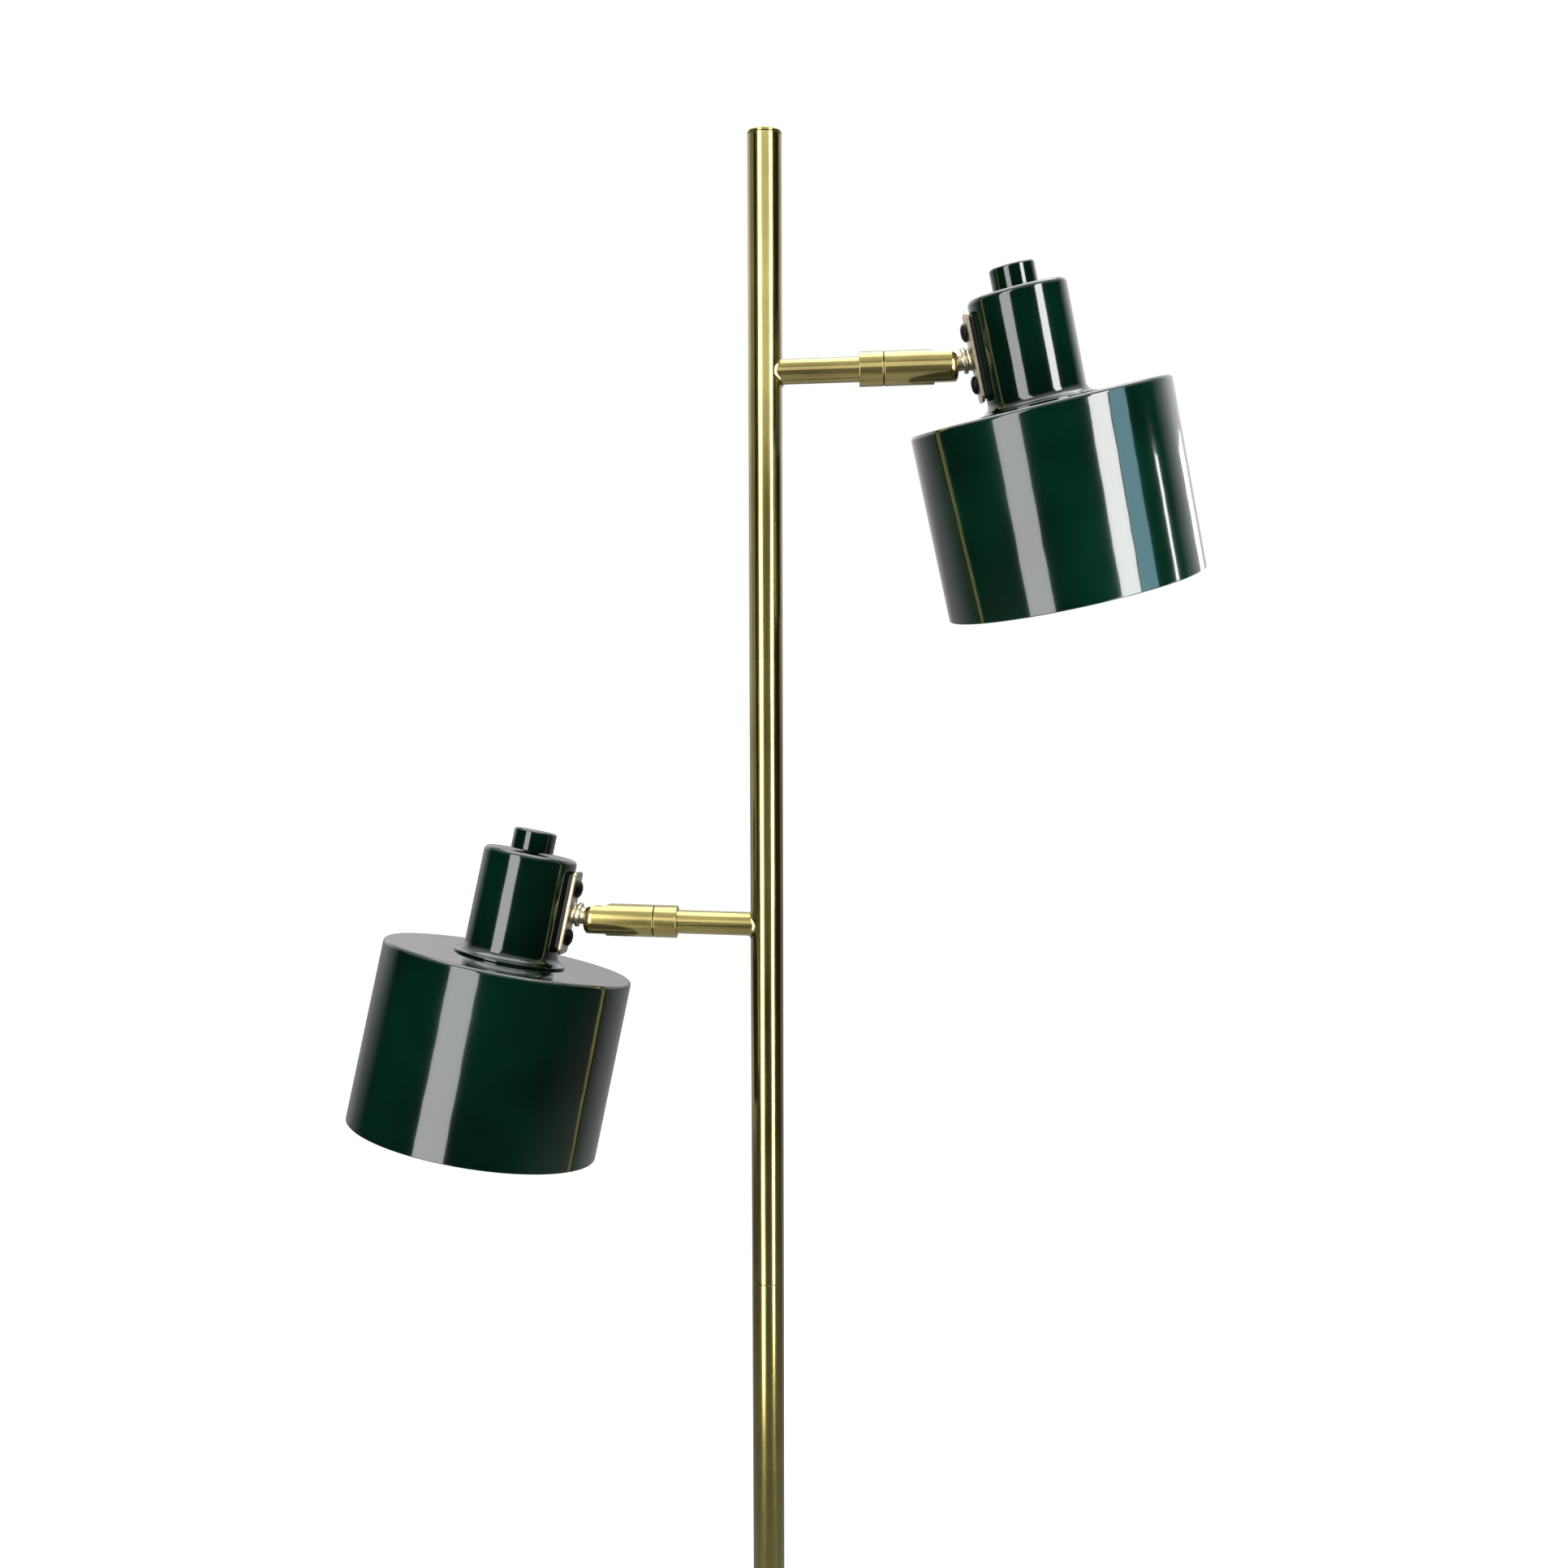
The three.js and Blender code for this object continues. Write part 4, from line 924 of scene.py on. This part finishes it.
# %% Base pieces
BASE_RADIUS, BASE_HEIGHT, SHOULDER, BASE_FLAT = 130.0, 22.0, 6.0, 24.0
BASE_FALL, COVER_WALL, COVER_FOOT = 2.4, 1.2, 2.3
ROD_HOLE, GLAND_HOLE = 5.3, 3.9
FELT_RADIUS, FELT_THICKNESS = 126, 2
COLLAR_RADIUS, COLLAR_HEIGHT = 15, 12
GLAND_BORE, GLAND_STEM, GLAND_RIM = 2.4, 3.6, 4.8
GLAND_HEIGHT = COVER_FOOT + GLAND_RIM + GAP


def cover_outline(inset):
    shoulder_at = BASE_RADIUS - SHOULDER
    shoulder_z = BASE_HEIGHT - BASE_FALL - SHOULDER
    rim = [(shoulder_at + (SHOULDER - inset) * math.cos(math.radians(a)),
            shoulder_z + (SHOULDER - inset) * math.sin(math.radians(a)))
           for a in range(0, 91, 6)]
    return [(BASE_RADIUS - inset, COVER_FOOT), *rim, (BASE_FLAT, BASE_HEIGHT - inset),
            (ROD_HOLE, BASE_HEIGHT - inset)]


cover = piece_of("base_lacquered_cover",
                 lathe(cover_outline(0) + cover_outline(COVER_WALL)[::-1], 256))
machine(cover, [drill(GLAND_HOLE, 120, 136, "Y", (0, 0, GLAND_HEIGHT))])
fit(cover, Matrix(), "stand", "base_cover", GREEN_LACQUER)

felt = rounded([(0, 0, 0), (FELT_RADIUS, 0, 0.4), (FELT_RADIUS, FELT_THICKNESS, 0.4),
                (0, FELT_THICKNESS, 0)], closed=False)
fit(piece_of("base_felt", lathe(felt, 256)), Matrix(), "stand", "base_felt_pad",
    WOOL_FELT)

collar_foot, collar_top = BASE_HEIGHT + GAP, BASE_HEIGHT + GAP + COLLAR_HEIGHT
waist = POLE_RADIUS + 2.4
hollow = COLLAR_RADIUS - waist
flare = [(COLLAR_RADIUS + hollow * math.cos(math.radians(a)),
          collar_top - 2 + hollow * math.sin(math.radians(a))) for a in range(262, 179, -6)]
collar = [(POLE_RADIUS + GAP, collar_foot), (COLLAR_RADIUS - 0.2, collar_foot),
          (COLLAR_RADIUS, collar_foot + 0.2), (COLLAR_RADIUS, collar_foot + 2.2), *flare,
          (waist, collar_top - 0.4), (waist - 0.4, collar_top),
          (POLE_RADIUS + GAP, collar_top)]
fit(piece_of("base_foot_collar", lathe(collar, 128)), Matrix(), "stand", "base_collar",
    BRASS_POLE)

skin = BASE_RADIUS + GAP
gland = rounded([(GLAND_BORE, skin - 12, 0), (GLAND_STEM, skin - 12, 0.2),
                 (GLAND_STEM, skin, 0), (GLAND_RIM, skin, 0.2), (GLAND_RIM, skin + 2.6, 0.9),
                 (GLAND_BORE, skin + 2.6, 0.4)], closed=True)
fit(piece_of("base_cord_gland", lathe(gland, 64), "Y", (0, 0, GLAND_HEIGHT)), Matrix(),
    "stand", "cord_gland", PHENOLIC)
print("base made:", BASE_RADIUS * 2, "mm wide")

# %% [markdown]
# ## Finishes for the pieces that stay
# The pieces inside the lamp keep the engineering model's own meshes, since their
# shapes are already right. Each gets the finish of its real material.

# %% Finishes inside
INSIDE = {
    "base_weight": CAST_IRON, "base_rod": ZINC_STEEL, "base_nut": ZINC_STEEL,
    "coupler": ZINC_STEEL, "swivel_nut": ZINC_STEEL, "stem_nut": ZINC_STEEL,
    "switch_nut": ZINC_STEEL, "holder_bracket": ZINC_STEEL, "switch_body": PHENOLIC,
    "terminal_block": WHITE_NYLON, "lead": LEAD_PVC,
}
kept = 0
for node, piece in frame["nodes"].items():
    if piece.hide_render:
        continue
    finish = next(f for key, f in INSIDE.items() if key in node)
    piece.data.materials.clear()
    piece.data.materials.append(finish)
    kept += 1
print("inner pieces finished:", kept)

# %% [markdown]
# ## Floor, light and surroundings
# Gloss lacquer shows its surroundings more than its own colour, so the studio is
# part of the finish. It is bright above and behind the lamp, half as bright below and
# dim in front. Tall soft strips draw the long highlights down the shades. The left
# strip and the overhead softbox light everything, and the others are aimed. The right
# strip leaves the lower shade dark, and a cool strip and two edge lights are for the
# upper drum alone. The dim fills and a glint are for the bare metal, which has no
# colour of its own to show and goes black in a dark room. Linking a light to a
# collection of pieces does this.

# %% Studio
floor_shape = bmesh.new()
bmesh.ops.create_circle(floor_shape, cap_ends=True, segments=128, radius=14.0)
floor_mesh = bpy.data.meshes.new("floor")
floor_shape.to_mesh(floor_mesh)
floor_shape.free()
floor = bpy.data.objects.new("floor", floor_mesh)
bpy.context.scene.collection.objects.link(floor)
floor.data.materials.append(grained(
    "pale_floor", "#ededea", "#f5f5f3", 30.0, 0.0, (0.7, 0.8),
    **{"Emission Color": (1.0, 1.0, 1.0, 1.0), "Emission Strength": 0.5}))
floor.visible_glossy = False

world = bpy.data.worlds.new("studio")
bpy.context.scene.world = world
world.use_nodes = True
sky = world.node_tree
sky.nodes.clear()
toward = add(sky, "ShaderNodeTexCoord").outputs["Generated"]
split = add(sky, "ShaderNodeSeparateXYZ", {"Vector": toward})
sweep = add(sky, "ShaderNodeMapRange", {"Value": split.outputs["Y"], "From Min": 0.2,
                                        "From Max": 0.65, "To Min": 0.01, "To Max": 0.8})
rise = add(sky, "ShaderNodeMapRange", {"Value": split.outputs["Z"], "From Min": -0.12,
                                       "From Max": 0.16, "To Min": 0.33, "To Max": 1.0})
behind = add(sky, "ShaderNodeMath", {0: sweep.outputs["Result"], 1: rise.outputs["Result"]},
             operation="MULTIPLY")
above = add(sky, "ShaderNodeMapRange", {"Value": split.outputs["Z"], "From Min": 0.35,
                                        "From Max": 0.9, "To Min": 0.01, "To Max": 1.0})
below = add(sky, "ShaderNodeMapRange", {"Value": split.outputs["Z"], "From Min": -0.3,
                                        "From Max": -0.8, "To Min": 0.01, "To Max": 0.5})
glow = add(sky, "ShaderNodeMath", {0: behind.outputs[0], 1: above.outputs["Result"]},
           operation="MAXIMUM")
glow = add(sky, "ShaderNodeMath", {0: glow.outputs[0], 1: below.outputs["Result"]},
           operation="MAXIMUM")
seen = add(sky, "ShaderNodeLightPath").outputs["Is Camera Ray"]
strength = add(sky, "ShaderNodeMix", {"Factor": seen, "A": glow.outputs[0], "B": 1.0})
ground = add(sky, "ShaderNodeBackground", {"Color": (1.0, 1.0, 1.0, 1.0),
                                           "Strength": strength.outputs["Result"]})
add(sky, "ShaderNodeOutputWorld", {"Surface": ground.outputs["Background"]})


def softbox(name, place, aim, width, height, power, colour="#ffffff"):
    data = bpy.data.lights.new(name, "AREA")
    data.shape, data.size, data.size_y = "RECTANGLE", width, height
    data.energy, data.color = power, linear(colour)[:3]
    light = bpy.data.objects.new(name, data)
    bpy.context.scene.collection.objects.link(light)
    light.location = place
    light.rotation_mode = "QUATERNION"
    light.rotation_quaternion = (Vector(aim) - Vector(place)).to_track_quat("-Z", "Y")
    return light


softbox("left_strip", (-0.53, -0.91, 1.20), (0, 0, 1.20), 0.46, 1.9, 12)
right = softbox("right_strip", (0.82, -0.81, 1.22), (0.16, -0.06, 1.22), 0.32, 1.9, 19)
window = softbox("window_strip", (1.04, -0.56, 1.22), (0.17, -0.05, 1.22), 0.30, 1.9, 6,
                 "#a8dcf0")
edge = softbox("edge_strip", (0.853, 0.733, 1.2), (0.20, -0.025, 1.2), 0.22, 0.60, 1.3)
line = softbox("edge_line", (1.185, -0.03, 1.2), (0.185, -0.046, 1.2), 0.06, 0.60, 1.1)
glint = softbox("left_glint", (-0.52, -0.89, 1.20), (0, 0, 1.20), 0.24, 1.9, 6)
high_fill = softbox("high_fill", (0.1, -1.7, 1.9), (0, 0, 1.2), 2.4, 0.8, 8)
low_fill = softbox("low_fill", (0.0, -2.2, 1.1), (0, 0, 1.1), 2.4, 1.2, 1.8)
side_fill = softbox("side_fill", (-1.5, 0.3, 1.2), (0, 0, 1.2), 1.6, 1.6, 3.2)
softbox("overhead", (0.0, 0.4, 2.9), (0, 0, 1.0), 2.0, 1.6, 26)


def light_only(lights, name, wanted):
    """Links lights to the pieces that pass a test."""
    lit = bpy.data.collections.new(name)
    for thing in bpy.data.objects:
        if thing.type == "MESH" and wanted(thing):
            lit.objects.link(thing)
    for light in lights:
        light.light_linking.receiver_collection = lit


BARE_METAL = {BRASS_POLE, BRASS_ARM, NICKEL_PLATE}
light_only((window, edge, line), "upper_drum_alone",
           lambda thing: thing.name == "upper_drum")
light_only((right,), "upper_head_and_brass", lambda thing: thing.name.startswith("upper_")
           or thing.active_material in BARE_METAL)
light_only((glint, high_fill, low_fill, side_fill), "bare_metal_pieces",
           lambda thing: thing.active_material in BARE_METAL)
bpy.context.scene.view_settings.view_transform = "Standard"
